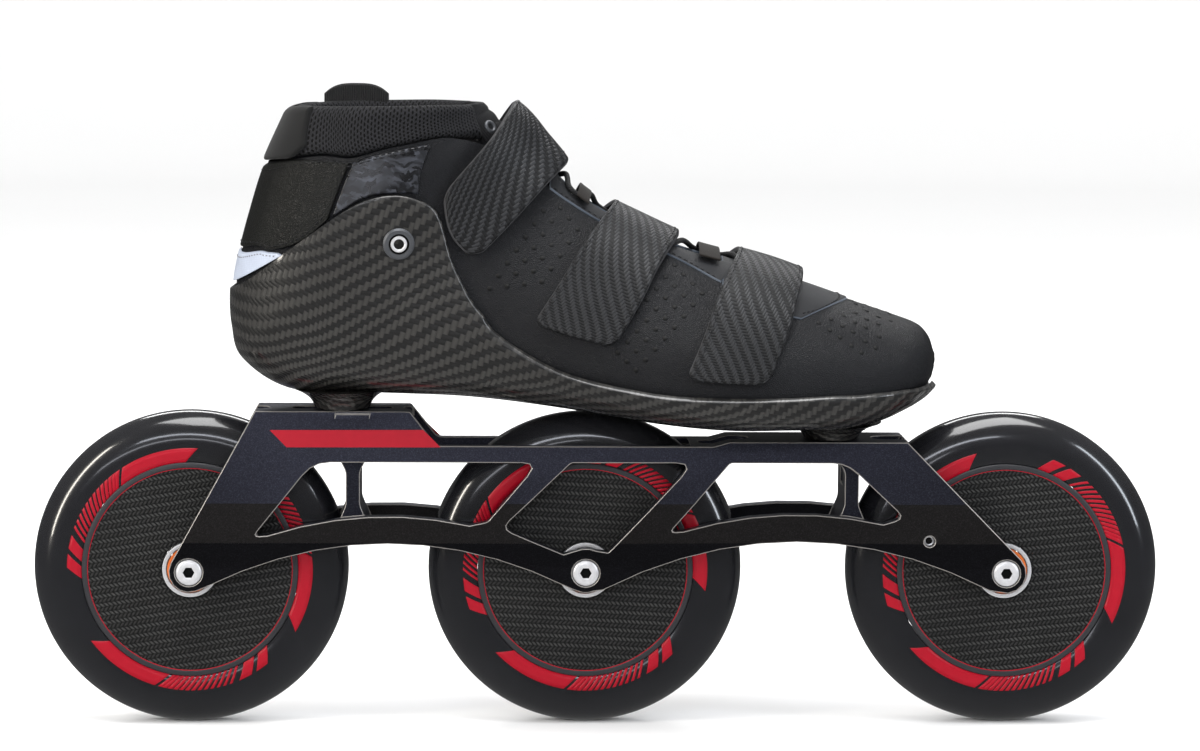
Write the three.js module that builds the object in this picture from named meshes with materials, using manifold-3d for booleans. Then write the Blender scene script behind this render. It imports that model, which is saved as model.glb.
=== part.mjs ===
// An inline speed skate for the right foot: three large wheels in line under a milled
// aluminium frame, and a low carbon boot with three straps bolted on top of the frame.
// Millimetres. +X points to the toe, +Y to the inner side of the foot, +Z up.
// The origin is on the ground, midway between the front and the rear axle.

import * as THREE from 'three';
import { mergeVertices } from 'three/addons/utils/BufferGeometryUtils.js';
import Module from 'manifold-3d';

const wasm = await Module();
wasm.setup();

// ---------------------------------------------------------------- driving dimensions

const GAP = 0.3;                      // clearance between touching pieces
const SKIN_ROOM = 0.7;                // room between the boot's layers, for their flats
const SHELL_ROOM = 1;                 // room between the leather and the carbon shell
const INNER_ROOM = 1.3;               // room under the leather, round the tongue and the insole

// Wheels
const WHEEL_DIAMETER = 125;
const TYRE_WIDTH = 24;
const TREAD_FLAT = 4;                 // width of the strip that meets the ground
const SHOULDER_DIAMETER = 100;        // where the tyre is widest
const RIM_DIAMETER = 86;              // inner edge of the tyre
const RIM_INSET = 0.6;                // the tyre's side dips by this much towards the rim
const HUB_WEB = 6;
const HUB_RIM_WALL = 4.5;
const HUB_BOSS_WALL = 4.5;
const HUB_FIT = 0.5;                  // bond line between hub and tyre
const DISC_THICKNESS = 1.1;
const DISC_RECESS = 0.3;              // how far the disc lies below the bearing's face

// Bearings of the 608 size
const BEARING_BORE = 8;
const BEARING_DIAMETER = 22;
const BEARING_WIDTH = 7;
const BEARING_RING_WALL = 1.6;
const BEARING_INNER_WALL = 2;
const SEAL_THICKNESS = 0.8;
const SEAL_RECESS = 0.25;
const BEARING_SEAT_FIT = 0.4;
const HUB_SHOULDER = 2;

// Axles
const WHEELBASE = 324;
const MIDDLE_AXLE_SHIFT = -5.2;       // the middle wheel sits a little behind the centre
const AXLE_FIT = 0.2;
const AXLE_HEAD_DIAMETER = 10.4;
const AXLE_HEAD_LENGTH = 3.4;
const AXLE_HEAD_PROUD = 0.5;
const AXLE_SOCKET_ACROSS_FLATS = 4;
const AXLE_SOCKET_DEPTH = 2.4;
const AXLE_END_INSET = 1.5;

// Frame
const REAR_DECK_ABOVE_WHEEL = 1.2;
const HEEL_LIFT = 11.6;               // rear deck above front deck
const DECK_THICKNESS = 4.5;
const DECK_WIDTH = 30;
const BAND_WIDTH = 41.4;              // widest part, at the level of the lower beam
const DROPOUT_WIDTH = 38.4;
const RAIL_GAP = 26;                  // between the two top rails
const BEAM_GAP = 29;                  // between the two lower beams
const RAIL_DEPTH = 6.5;
const RAIL_DROP = 1.8;                // top rail below the front deck
const BEAM_DEPTH = 10.9;
const BAND_RISE = 27.8;               // top edge of the vertical band above the axles
const TAPER_RISE = 12;                // the sides taper in below this height
const BOSS_RADIUS = 8;
const REAR_ARCH_RISE = 11.8;          // crest of the rear lower arch above the axles
const FRONT_ARCH_RISE = 12.8;
const REAR_ARCH_DROP = 21.2;          // fall of the arch from its crest to the dropouts
const FRONT_ARCH_DROP = 23.3;
const WHEEL_CLEARANCE = 3;
const SLOT_WIDTH = 9;
const REAR_SLOT_LENGTH = 40;
const FRONT_SLOT_LENGTH = 20;
const NOTCH_WIDTH = 12.6;             // open ends of the decks
const WEB_THICKNESS = 5.6;
const WEB_FLARE = 4;
const BOLT_ACCESS = 14;               // height of the key's way to a mounting bolt
const GRUB_HOLE_DIAMETER = 4.4;
const GRUB_HOLE_DEPTH = 3;

// Boot mounting
const MOUNT_SPACING = 195;
const FRONT_MOUNT_X = 93;
const BOLT_DIAMETER = 6;
const BOLT_HEAD_DIAMETER = 12;
const BOLT_HEAD_HEIGHT = 4;
const BOLT_SOCKET_ACROSS_FLATS = 4;
const BOLT_FIT = 0.3;
const INSERT_LENGTH = 26;
const INSERT_WIDTH = 14;
const INSERT_HEIGHT = 3.2;
const PEDESTAL_HALF_LENGTH = 11;
const PEDESTAL_HALF_WIDTH = 16;
const PEDESTAL_SPREAD = 9;            // how much wider the pedestal is at the sole

// Boot
const BOOT_LENGTH = 277.8;            // outside of the upper, toe to heel
const BALL_WIDTH = 95;                // width of the upper across the ball of the foot
const UPPER_THICKNESS = 2.2;
const SHELL_THICKNESS = 2.1;
const PANEL_THICKNESS = 1;
const COLLAR_INSIDE = 6;
const COLLAR_OUTSIDE = 0.9;
const HEEL_PAD_THICKNESS = 1.6;
const TONGUE_THICKNESS = 3.5;
const INSOLE_THICKNESS = 3;
const STRAP_THICKNESS = 2.2;
const STRAP_SIDE_LIFT = 0.4;          // strap above the leather down the side
const LACE_DIAMETER = 2.2;
const LACE_LIFT = 1.1;                // underside of the lace above the leather
const ANKLE_RING_DIAMETER = 12.2;
const ANKLE_RING_HEIGHT = 1.6;
const ANKLE_SLEEVE_DIAMETER = 7.1;
const ANKLE_HOLE_DIAMETER = 4;

// ---------------------------------------------------------------- derived places

const AXLE_Z = WHEEL_DIAMETER / 2;
const REAR_AXLE_X = -WHEELBASE / 2;
const FRONT_AXLE_X = WHEELBASE / 2;
const AXLES = [
  { name: 'rear', x: REAR_AXLE_X },
  { name: 'middle', x: MIDDLE_AXLE_SHIFT },
  { name: 'front', x: FRONT_AXLE_X },
];
const REAR_DECK_Z = WHEEL_DIAMETER + REAR_DECK_ABOVE_WHEEL;
const FRONT_DECK_Z = REAR_DECK_Z - HEEL_LIFT;
const RAIL_TOP_Z = FRONT_DECK_Z - RAIL_DROP;
const RAIL_BOTTOM_Z = RAIL_TOP_Z - RAIL_DEPTH;
const REAR_MOUNT_X = FRONT_MOUNT_X - MOUNT_SPACING;
const HUB_HALF_WIDTH = TYRE_WIDTH / 2;
const RIM_RADIUS = RIM_DIAMETER / 2;
const HUB_RADIUS = RIM_RADIUS - GAP - HUB_FIT;
const BEARING_RADIUS = BEARING_DIAMETER / 2;
const AXLE_RADIUS = BEARING_BORE / 2 - AXLE_FIT;
const DROPOUT_HALF_WIDTH = DROPOUT_WIDTH / 2;
const MOUNTS = [
  { name: 'rear', x: REAR_MOUNT_X, deckZ: REAR_DECK_Z },
  { name: 'front', x: FRONT_MOUNT_X, deckZ: FRONT_DECK_Z },
];
const STEEL = { color: 0xc9c9cc, roughness: 0.3, metalness: 1 };

// ---------------------------------------------------------------- solids and helpers

const BAR_SIDES = 20;

/** Merges shared corners and turns the faces outward. */
function closed(geometry) {
  geometry.deleteAttribute('normal');
  geometry.deleteAttribute('uv');
  const merged = mergeVertices(geometry, 1e-4);
  const points = merged.getAttribute('position').array;
  const corners = Array.from(merged.getIndex().array);
  const triangles = [];
  let volume = 0;
  for (let i = 0; i < corners.length; i += 3) {
    const [a, b, c] = corners.slice(i, i + 3);
    if (a === b || b === c || c === a) continue;
    triangles.push(a, b, c);
    const p = new THREE.Vector3().fromArray(points, a * 3);
    const q = new THREE.Vector3().fromArray(points, b * 3);
    const r = new THREE.Vector3().fromArray(points, c * 3);
    volume += p.dot(q.cross(r));
  }
  if (volume < 0) triangles.reverse();
  merged.setIndex(triangles);
  return merged;
}

/** A closed geometry as a solid that can be cut and joined. */
function solid(geometry) {
  const body = closed(geometry);
  return new wasm.Manifold(new wasm.Mesh({
    numProp: 3,
    vertProperties: new Float32Array(body.getAttribute('position').array),
    triVerts: new Uint32Array(body.getIndex().array),
  }));
}

/** The faces of a solid as a geometry. */
function surface(body) {
  const faces = body.getMesh();
  const geometry = new THREE.BufferGeometry();
  geometry.setAttribute('position', new THREE.BufferAttribute(new Float32Array(faces.vertProperties), 3));
  geometry.setIndex(Array.from(faces.triVerts));
  return geometry;
}

/** Revolves a closed outline of [radius, y] about the Y axis; its flats are tangent to the radii. */
function turned(outline, segments) {
  const grow = 1 / Math.cos(Math.PI / segments);
  const points = outline.concat([outline[0]]).map(([r, y]) => new THREE.Vector2(r * grow, y));
  return new THREE.LatheGeometry(points, segments, Math.PI / segments);
}

/** A plain ring about the Y axis. */
function ring(inner, outer, y0, y1, segments) {
  return turned([[inner, y0], [outer, y0], [outer, y1], [inner, y1]], segments);
}

/** A round bar along Y. */
function bar(radius, y0, y1, x, z) {
  const geometry = new THREE.CylinderGeometry(radius, radius, y1 - y0, BAR_SIDES);
  return geometry.translate(x, (y0 + y1) / 2, z);
}

/** An upright bar in the wheels' plane. */
function upright(radius, x, z0, z1, sides = 20) {
  const geometry = new THREE.CylinderGeometry(radius, radius, z1 - z0, sides);
  return geometry.rotateX(Math.PI / 2).translate(x, 0, (z0 + z1) / 2);
}

/** A six-sided bar along Y, for a hexagon socket. */
function hexagon(acrossFlats, y0, y1) {
  const radius = acrossFlats / Math.sqrt(3);
  const geometry = new THREE.CylinderGeometry(radius, radius, y1 - y0, 6);
  return geometry.translate(0, (y0 + y1) / 2, 0);
}

/** Extrudes a side view of [x, z] points along Y. */
function fromSide(outline, y0, y1) {
  const shape = new THREE.Shape(outline.map(([x, z]) => new THREE.Vector2(x, z)));
  const geometry = new THREE.ExtrudeGeometry(shape, { depth: y1 - y0, bevelEnabled: false });
  return geometry.rotateX(Math.PI / 2).translate(0, y1, 0);
}

/** Extrudes a section of [y, z] points along X. */
function fromFront(outline, x0, x1) {
  const shape = new THREE.Shape(outline.map(([y, z]) => new THREE.Vector2(y, z)));
  const geometry = new THREE.ExtrudeGeometry(shape, { depth: x1 - x0, bevelEnabled: false });
  return geometry.rotateX(Math.PI / 2).rotateZ(Math.PI / 2).translate(x0, 0, 0);
}

/** Extrudes a plan of [x, y] points along Z. */
function fromTop(outline, z0, z1) {
  const shape = new THREE.Shape(outline.map(([x, y]) => new THREE.Vector2(x, y)));
  const geometry = new THREE.ExtrudeGeometry(shape, { depth: z1 - z0, bevelEnabled: false });
  return geometry.translate(0, 0, z0);
}

/** Rounds the corners of an outline of [x, z, radius] points; short sides limit the radius. */
function rounded(corners, steps = 3) {
  const outline = [];
  corners.forEach(([x, z, radius = 0], i) => {
    const corner = new THREE.Vector2(x, z);
    const before = new THREE.Vector2(...corners.at(i - 1).slice(0, 2));
    const after = new THREE.Vector2(...corners[(i + 1) % corners.length].slice(0, 2));
    if (radius === 0) {
      outline.push([x, z]);
      return;
    }
    const room = 0.48 * Math.min(before.distanceTo(corner), after.distanceTo(corner));
    const back = before.sub(corner).normalize();
    const ahead = after.sub(corner).normalize();
    const half = Math.acos(THREE.MathUtils.clamp(back.dot(ahead), -1, 1)) / 2;
    const reach = Math.min(radius / Math.tan(half), room);
    const start = corner.clone().addScaledVector(back, reach);
    const end = corner.clone().addScaledVector(ahead, reach);
    const arc = new THREE.QuadraticBezierCurve(start, corner, end);
    arc.getPoints(steps).forEach((p) => outline.push([p.x, p.y]));
  });
  return outline;
}

const root = new THREE.Group();

/** Adds one named piece to the skate. */
function add(name, geometry, finish, parent = root) {
  const mesh = new THREE.Mesh(closed(geometry), new THREE.MeshStandardMaterial(finish));
  mesh.name = name;
  parent.add(mesh);
  return mesh;
}

// ---------------------------------------------------------------- wheels

const TYRE_SEGMENTS = 32;
const HUB_SEGMENTS = 24;
const BEARING_SEGMENTS = 16;

/** The tyre's section: a flat tread strip, round shoulders and nearly flat sides. */
function tyreOutline() {
  const half = TYRE_WIDTH / 2;
  const shoulder = SHOULDER_DIAMETER / 2;
  const end = Math.acos(TREAD_FLAT / TYRE_WIDTH);
  const steps = 3;
  const side = [[RIM_RADIUS, half - RIM_INSET]];
  for (let i = 0; i <= steps; i += 1) {
    const angle = (end * i) / steps;
    const rise = Math.sin(angle) / Math.sin(end);
    side.push([shoulder + (AXLE_Z - shoulder) * rise, half * Math.cos(angle)]);
  }
  const other = side.map(([r, y]) => [r, -y]).reverse();
  return side.concat(other);
}

/** The hub: a rim, a thin web and a boss with a seat for a bearing on each side. */
function hubOutline() {
  const face = HUB_HALF_WIDTH - DISC_RECESS - DISC_THICKNESS - GAP;
  const seat = BEARING_RADIUS + BEARING_SEAT_FIT;
  const shoulder = HUB_HALF_WIDTH - BEARING_WIDTH - GAP;
  const boss = seat + HUB_BOSS_WALL;
  const rim = HUB_RADIUS - HUB_RIM_WALL;
  const upper = [
    [seat - HUB_SHOULDER, shoulder],
    [seat, shoulder],
    [seat, face],
    [boss, face],
    [boss, HUB_WEB / 2],
    [rim, HUB_WEB / 2],
    [rim, face],
    [HUB_RADIUS, face],
  ];
  const lower = upper.map(([r, y]) => [r, -y]).reverse();
  return upper.concat(lower);
}

/** The axle: a shaft with a round socket head on the outer side of the foot. */
function axleSolid() {
  const face = -DROPOUT_HALF_WIDTH - AXLE_HEAD_PROUD;
  const seat = face + AXLE_HEAD_LENGTH;
  const end = DROPOUT_HALF_WIDTH - AXLE_END_INSET;
  const headRadius = AXLE_HEAD_DIAMETER / 2;
  const chamfer = 0.6;
  const outline = [
    [0, face],
    [headRadius - chamfer, face],
    [headRadius, face + chamfer],
    [headRadius, seat],
    [AXLE_RADIUS, seat],
    [AXLE_RADIUS, end - chamfer],
    [AXLE_RADIUS - chamfer, end],
    [0, end],
  ];
  const socket = hexagon(AXLE_SOCKET_ACROSS_FLATS, face - 1, face + AXLE_SOCKET_DEPTH);
  return surface(solid(turned(outline, BEARING_SEGMENTS)).subtract(solid(socket)));
}

/** One wheel with its two bearings, spacer and axle. */
function addWheel(name, x) {
  const group = new THREE.Group();
  group.position.set(x, 0, AXLE_Z);
  root.add(group);
  const outerFace = HUB_HALF_WIDTH;
  const innerFace = HUB_HALF_WIDTH - BEARING_WIDTH;
  const discFace = HUB_HALF_WIDTH - DISC_RECESS;
  const bore = BEARING_BORE / 2;
  const innerRing = bore + BEARING_INNER_WALL;
  const outerRing = BEARING_RADIUS - BEARING_RING_WALL;
  const sealFace = outerFace - SEAL_RECESS;

  add(`tyre_${name}`, turned(tyreOutline(), TYRE_SEGMENTS), { color: 0x0b0b0d, roughness: 0.25 }, group);
  add(`hub_${name}`, turned(hubOutline(), HUB_SEGMENTS), { color: 0x17171a, roughness: 0.5 }, group);
  const sides = { outer: -1, inner: 1 };
  for (const [side, sign] of Object.entries(sides)) {
    const place = (y) => y * sign;
    const rings = [
      [`disc_cover_${name}_${side}`, BEARING_RADIUS + GAP, HUB_RADIUS, discFace - DISC_THICKNESS, discFace,
        HUB_SEGMENTS, { color: 0x1b1c1e, roughness: 0.35 }],
      [`bearing_race_${name}_${side}`, outerRing, BEARING_RADIUS, innerFace, outerFace,
        BEARING_SEGMENTS, STEEL],
      [`bearing_cone_${name}_${side}`, bore, innerRing, innerFace, outerFace,
        BEARING_SEGMENTS, STEEL],
      [`bearing_seal_${name}_${side}`, innerRing + GAP, outerRing - GAP, sealFace - SEAL_THICKNESS, sealFace,
        BEARING_SEGMENTS, { color: 0xe0641c, roughness: 0.6 }],
    ];
    for (const [piece, inner, outer, y0, y1, segments, finish] of rings) {
      add(piece, ring(inner, outer, place(y0), place(y1), segments), finish, group);
    }
  }
  const spacer = ring(bore, bore + BEARING_RING_WALL, GAP - innerFace, innerFace - GAP, BEARING_SEGMENTS);
  add(`bearing_spacer_${name}`, spacer, { color: 0xa9abb0, roughness: 0.4, metalness: 1 }, group);
  add(`axle_${name}`, axleSolid(), STEEL, group);
}

for (const { name, x } of AXLES) addWheel(name, x);

// ---------------------------------------------------------------- frame

const REAR_ARCH = {
  from: REAR_AXLE_X,
  to: MIDDLE_AXLE_SHIFT,
  rise: REAR_ARCH_RISE,
  drop: REAR_ARCH_DROP,
};
const FRONT_ARCH = {
  from: MIDDLE_AXLE_SHIFT,
  to: FRONT_AXLE_X,
  rise: FRONT_ARCH_RISE,
  drop: FRONT_ARCH_DROP,
};

/** Height of a lower arch at x, a parabola between two axles. */
function archZ(arch, x) {
  const middle = (arch.from + arch.to) / 2;
  const t = (x - middle) / ((arch.to - arch.from) / 2);
  return AXLE_Z + arch.rise - arch.drop * t * t;
}

/** Points along a lower arch, lifted by so much, from one x to the other. */
function archPoints(arch, x0, x1, lift, steps) {
  const points = [];
  for (let i = 0; i <= steps; i += 1) {
    const x = x0 + ((x1 - x0) * i) / steps;
    points.push([x, archZ(arch, x) + lift]);
  }
  return points;
}

/** Points round a circle about an axle, between two angles in degrees. */
function roundAxle(x, radius, from, to, steps) {
  const points = [];
  for (let i = 0; i <= steps; i += 1) {
    const angle = THREE.MathUtils.degToRad(from + ((to - from) * i) / steps);
    points.push([x + radius * Math.cos(angle), AXLE_Z + radius * Math.sin(angle)]);
  }
  return points;
}

const REAR_DECK = { from: REAR_AXLE_X + 26, to: REAR_AXLE_X + 87.1, z: REAR_DECK_Z };
const FRONT_DECK = { from: FRONT_AXLE_X - 110.3, to: FRONT_AXLE_X - 39.8, z: FRONT_DECK_Z };

/** The frame's outline from the side: two decks, a lower rail between them and three dropouts. */
function frameOutline() {
  const margin = BOSS_RADIUS * 0.85;
  const top = rounded([
    [REAR_DECK.from, REAR_DECK.z],
    [REAR_DECK.to, REAR_DECK.z, 1.5],
    [REAR_DECK.to + 10.5, RAIL_TOP_Z, 4],
    [FRONT_DECK.from - 6.4, RAIL_TOP_Z, 3],
    [FRONT_DECK.from, FRONT_DECK.z, 1.5],
    [FRONT_DECK.to, FRONT_DECK.z],
  ], 3).reverse();
  return [
    ...top,
    ...roundAxle(REAR_AXLE_X, BOSS_RADIUS, 152, 290, 6),
    ...archPoints(REAR_ARCH, REAR_AXLE_X + margin, MIDDLE_AXLE_SHIFT - margin, 0, 10),
    ...roundAxle(MIDDLE_AXLE_SHIFT, BOSS_RADIUS, 245, 295, 3),
    ...archPoints(FRONT_ARCH, MIDDLE_AXLE_SHIFT + margin, FRONT_AXLE_X - margin, 0, 10),
    ...roundAxle(FRONT_AXLE_X, BOSS_RADIUS, 250, 404, 6),
  ];
}

/** The three windows in the frame's sides. Each follows the lower beam along its bottom. */
function windowOutlines() {
  const rearLeft = REAR_AXLE_X + 27;
  const rearRight = MIDDLE_AXLE_SHIFT - 46;
  const frontLeft = MIDDLE_AXLE_SHIFT + 38.5;
  const frontRight = FRONT_AXLE_X - 45.5;
  const rearBeam = archPoints(REAR_ARCH, rearLeft + 4, rearRight, BEAM_DEPTH, 6);
  const frontBeam = archPoints(FRONT_ARCH, frontLeft, frontRight - 4, BEAM_DEPTH, 6);
  const beamCorner = (arch, x, radius) => [x, archZ(arch, x) + BEAM_DEPTH, radius];
  const bossTop = roundAxle(MIDDLE_AXLE_SHIFT, BOSS_RADIUS + 2, 115, 65, 3);
  return [
    [
      ...rearBeam,
      ...rounded([
        beamCorner(REAR_ARCH, rearRight, 0),
        [rearRight + 7, archZ(REAR_ARCH, rearRight) + BEAM_DEPTH + 1.5, 3],
        [MIDDLE_AXLE_SHIFT - 19, RAIL_BOTTOM_Z, 3],
        [rearLeft + 22, RAIL_BOTTOM_Z, 14],
        [rearLeft - 1.5, archZ(REAR_ARCH, rearLeft) + BEAM_DEPTH + 1, 3],
        beamCorner(REAR_ARCH, rearLeft + 3.9, 0),
      ]).slice(1, -1),
    ],
    [
      ...bossTop,
      ...rounded([
        [MIDDLE_AXLE_SHIFT + 9, AXLE_Z + 8.4, 1.5],
        [MIDDLE_AXLE_SHIFT + 42.5, RAIL_BOTTOM_Z, 3],
        [MIDDLE_AXLE_SHIFT - 6, RAIL_BOTTOM_Z, 3],
        [MIDDLE_AXLE_SHIFT - 33.5, AXLE_Z + 18, 3],
        [MIDDLE_AXLE_SHIFT - 9, AXLE_Z + 7.6, 1.5],
      ]),
    ],
    [
      ...frontBeam,
      ...rounded([
        beamCorner(FRONT_ARCH, frontRight - 4, 0),
        [frontRight + 4.5, archZ(FRONT_ARCH, frontRight) + BEAM_DEPTH + 3.5, 2.5],
        [FRONT_AXLE_X - 64, RAIL_BOTTOM_Z, 14],
        [MIDDLE_AXLE_SHIFT + 57, RAIL_BOTTOM_Z, 2.5],
        [MIDDLE_AXLE_SHIFT + 33, archZ(FRONT_ARCH, frontLeft) + BEAM_DEPTH - 0.5, 2.5],
        beamCorner(FRONT_ARCH, frontLeft, 0),
      ]).slice(1, -1),
    ],
  ];
}

/** The frame's outer section: narrow at the deck, widest at the lower beam. */
function frameSection() {
  const half = [
    [DECK_WIDTH / 2, REAR_DECK_Z + 1],
    [DECK_WIDTH / 2, REAR_DECK_Z],
    [BAND_WIDTH / 2, AXLE_Z + BAND_RISE],
    [BAND_WIDTH / 2, AXLE_Z + TAPER_RISE],
    [DROPOUT_HALF_WIDTH, AXLE_Z + 3],
    [DROPOUT_HALF_WIDTH, AXLE_Z - BOSS_RADIUS - 4],
  ];
  const other = half.map(([y, z]) => [-y, z]).reverse();
  return half.concat(other);
}

/** The space between the frame's sides, wider between the beams than between the rails. */
function frameChannel() {
  const step = 4;
  const half = [
    [RAIL_GAP / 2, REAR_DECK_Z + 5],
    [RAIL_GAP / 2, RAIL_BOTTOM_Z - step],
    [BEAM_GAP / 2, RAIL_BOTTOM_Z - step * 2.2],
    [BEAM_GAP / 2, AXLE_Z - BOSS_RADIUS - 8],
  ];
  const other = half.map(([y, z]) => [-y, z]).reverse();
  return half.concat(other);
}

/** A waisted wall between the two sides, from the lower beam up to a height. */
function webSolid(x, arch, top) {
  const bottom = archZ(arch, x) + BEAM_DEPTH / 2;
  const waist = WEB_THICKNESS / 2;
  const foot = waist + WEB_FLARE;
  const outline = rounded([
    [x - foot, bottom],
    [x + foot, bottom],
    [x + waist, bottom + 10, 6],
    [x + waist, RAIL_BOTTOM_Z - 4, 6],
    [x + foot, RAIL_BOTTOM_Z + 4],
    [x + foot, top],
    [x - foot, top],
    [x - foot, RAIL_BOTTOM_Z + 4],
    [x - waist, RAIL_BOTTOM_Z - 4, 6],
    [x - waist, bottom + 10, 6],
  ], 3);
  return solid(fromSide(outline, -BEAM_GAP / 2 - 1, BEAM_GAP / 2 + 1));
}

/** A lengthwise slot with round ends through a deck. */
function slotSolid(x0, x1, width, deckZ) {
  const r = width / 2;
  const outline = rounded([[x0, -r, r], [x1, -r, r], [x1, r, r], [x0, r, r]], 4);
  return solid(fromTop(outline, deckZ - DECK_THICKNESS - 1, deckZ + 1));
}

/** The frame, milled from one block. */
function frameSolid() {
  const wide = BAND_WIDTH;
  const length = WHEELBASE / 2 + 40;
  let block = solid(fromSide(frameOutline(), -wide, wide));
  for (const outline of windowOutlines()) {
    block = block.subtract(solid(fromSide(outline, -wide - 1, wide + 1)));
  }
  block = block.intersect(solid(fromFront(frameSection(), -length, length)));

  let channel = solid(fromFront(frameChannel(), -length - 1, length + 1));
  for (const deck of [REAR_DECK, FRONT_DECK]) {
    const slab = fromSide([
      [deck.from - 20, deck.z - DECK_THICKNESS],
      [deck.to + 1, deck.z - DECK_THICKNESS],
      [deck.to + 1, deck.z + 10],
      [deck.from - 20, deck.z + 10],
    ], -wide, wide);
    channel = channel.subtract(solid(slab));
  }
  const rearWebX = REAR_AXLE_X + 64.6;
  const frontWebX = FRONT_AXLE_X - 61.7;
  let frame = block.subtract(channel);
  frame = frame.add(webSolid(rearWebX, REAR_ARCH, REAR_DECK_Z - 1));
  frame = frame.add(webSolid(frontWebX, FRONT_ARCH, FRONT_DECK_Z - 1));

  const wheelReach = AXLE_Z + WHEEL_CLEARANCE;
  const wheelHalf = TYRE_WIDTH / 2 + WHEEL_CLEARANCE / 4;
  const axleHole = AXLE_RADIUS + GAP;
  const headSeat = -DROPOUT_HALF_WIDTH - AXLE_HEAD_PROUD + AXLE_HEAD_LENGTH + GAP;
  for (const { x } of AXLES) {
    frame = frame.subtract(solid(bar(wheelReach, -wheelHalf, wheelHalf, x, AXLE_Z)));
    for (const sign of [-1, 1]) {
      const faces = [sign * (HUB_HALF_WIDTH + GAP), sign * (BEAM_GAP / 2 + 1)].sort((a, b) => a - b);
      frame = frame.add(solid(bar(BEARING_BORE / 2 + BEARING_INNER_WALL + 0.5, ...faces, x, AXLE_Z)));
    }
    frame = frame.subtract(solid(bar(axleHole, -wide, wide, x, AXLE_Z)));
    frame = frame.subtract(solid(bar(AXLE_HEAD_DIAMETER / 2 + GAP, -wide, headSeat, x, AXLE_Z)));
  }

  const slots = [
    [REAR_MOUNT_X - REAR_SLOT_LENGTH / 2, REAR_MOUNT_X + REAR_SLOT_LENGTH / 2, SLOT_WIDTH, REAR_DECK_Z],
    [FRONT_MOUNT_X - FRONT_SLOT_LENGTH / 2, FRONT_MOUNT_X + FRONT_SLOT_LENGTH / 2, SLOT_WIDTH, FRONT_DECK_Z],
    [REAR_DECK.from - 10, REAR_DECK.from + 5, SLOT_WIDTH, REAR_DECK_Z],
    [REAR_DECK.to - 2.5, REAR_DECK.to + 20, NOTCH_WIDTH, REAR_DECK_Z],
    [FRONT_DECK.from - 12, FRONT_DECK.from + 8, NOTCH_WIDTH, FRONT_DECK_Z],
    [FRONT_DECK.to - 13, FRONT_DECK.to + 10, NOTCH_WIDTH, FRONT_DECK_Z],
  ];
  for (const slot of slots) frame = frame.subtract(slotSolid(...slot));

  for (const { x, deckZ } of MOUNTS) {
    const under = deckZ - DECK_THICKNESS;
    frame = frame.subtract(solid(upright(BOLT_HEAD_DIAMETER / 2 + 1, x, under - BOLT_ACCESS, under)));
  }

  const grubEnd = GRUB_HOLE_DEPTH - BAND_WIDTH / 2;
  const grub = bar(GRUB_HOLE_DIAMETER / 2, -wide, grubEnd, FRONT_AXLE_X - 31, AXLE_Z + 13);
  return frame.subtract(solid(grub));
}

add('frame', surface(frameSolid()), { color: 0x2b2c36, roughness: 0.45, metalness: 0.9 });

// ---------------------------------------------------------------- boot surface

// Each station is a cut across the boot, from a point on the ridge (instep) to a point on
// the base (sole, heel or back), in side view. half holds the half widths towards the outer
// and the inner side, shift moves the cut sideways, widest is where it is widest between
// ridge and base, and round says how boxy it is above and below that (2 is an ellipse).
const LOFT = [
  { ridge: [134, 149], base: [131.5, 137], half: [12, 15], shift: 5, widest: 0.5, round: [2, 2.2] },
  { ridge: [131.5, 156], base: [127.5, 133], half: [23, 25], shift: 4.5, widest: 0.55, round: [2, 2.4] },
  { ridge: [126.5, 160.5], base: [120, 128.8], half: [31, 31], shift: 4, widest: 0.6, round: [2, 2.8] },
  { ridge: [117, 164], base: [109, 124.9], half: [37, 37], shift: 3, widest: 0.65, round: [2, 3] },
  { ridge: [101, 169.5], base: [94, 122.6], half: [42, 42], shift: 2, widest: 0.68, round: [2, 3.2] },
  { ridge: [81, 176.5], base: [75, 122.6], half: [46, 46], shift: 1, widest: 0.7, round: [1.9, 3.2] },
  { ridge: [56, 184.5], base: [50, 122.6], half: [47.5, 47.5], shift: 0, widest: 0.7, round: [1.8, 3.2] },
  { ridge: [30, 192], base: [22, 125], half: [45, 46], shift: 0, widest: 0.7, round: [1.8, 3.1] },
  { ridge: [4, 204], base: [-14, 130.5], half: [40, 42], shift: 0, widest: 0.68, round: [1.8, 3] },
  { ridge: [-12, 215], base: [-50, 134.5], half: [36, 37.5], shift: 0, widest: 0.64, round: [1.9, 3] },
  { ridge: [-20.5, 224], base: [-88, 135.5], half: [34.5, 35], shift: 0, widest: 0.6, round: [2, 2.9] },
  { ridge: [-26.5, 230.5], base: [-120, 136.5], half: [35, 35], shift: 0, widest: 0.55, round: [2, 2.7] },
  { ridge: [-31, 236], base: [-139, 148], half: [36.5, 36.5], shift: 0, widest: 0.5, round: [2, 2.4] },
  { ridge: [-34.5, 240], base: [-143.3, 161], half: [37.5, 37.5], shift: 0, widest: 0.5, round: [2, 2.2] },
  { ridge: [-37.5, 243], base: [-143.8, 175.5], half: [38, 38], shift: 0, widest: 0.5, round: [2, 2.1] },
  { ridge: [-39.5, 245], base: [-142, 187], half: [37.5, 37.5], shift: 0, widest: 0.5, round: [2, 2.1] },
  { ridge: [-41, 246.3], base: [-137.2, 205], half: [36.5, 36.5], shift: 0, widest: 0.5, round: [2, 2.1] },
  { ridge: [-42, 247.2], base: [-131, 224], half: [35.5, 35.5], shift: 0, widest: 0.5, round: [2, 2.1] },
  { ridge: [-43, 248], base: [-120.5, 246.5], half: [35, 35], shift: 0, widest: 0.5, round: [2, 2.1] },
];
const LAST_STATION = LOFT.length - 1;
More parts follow.
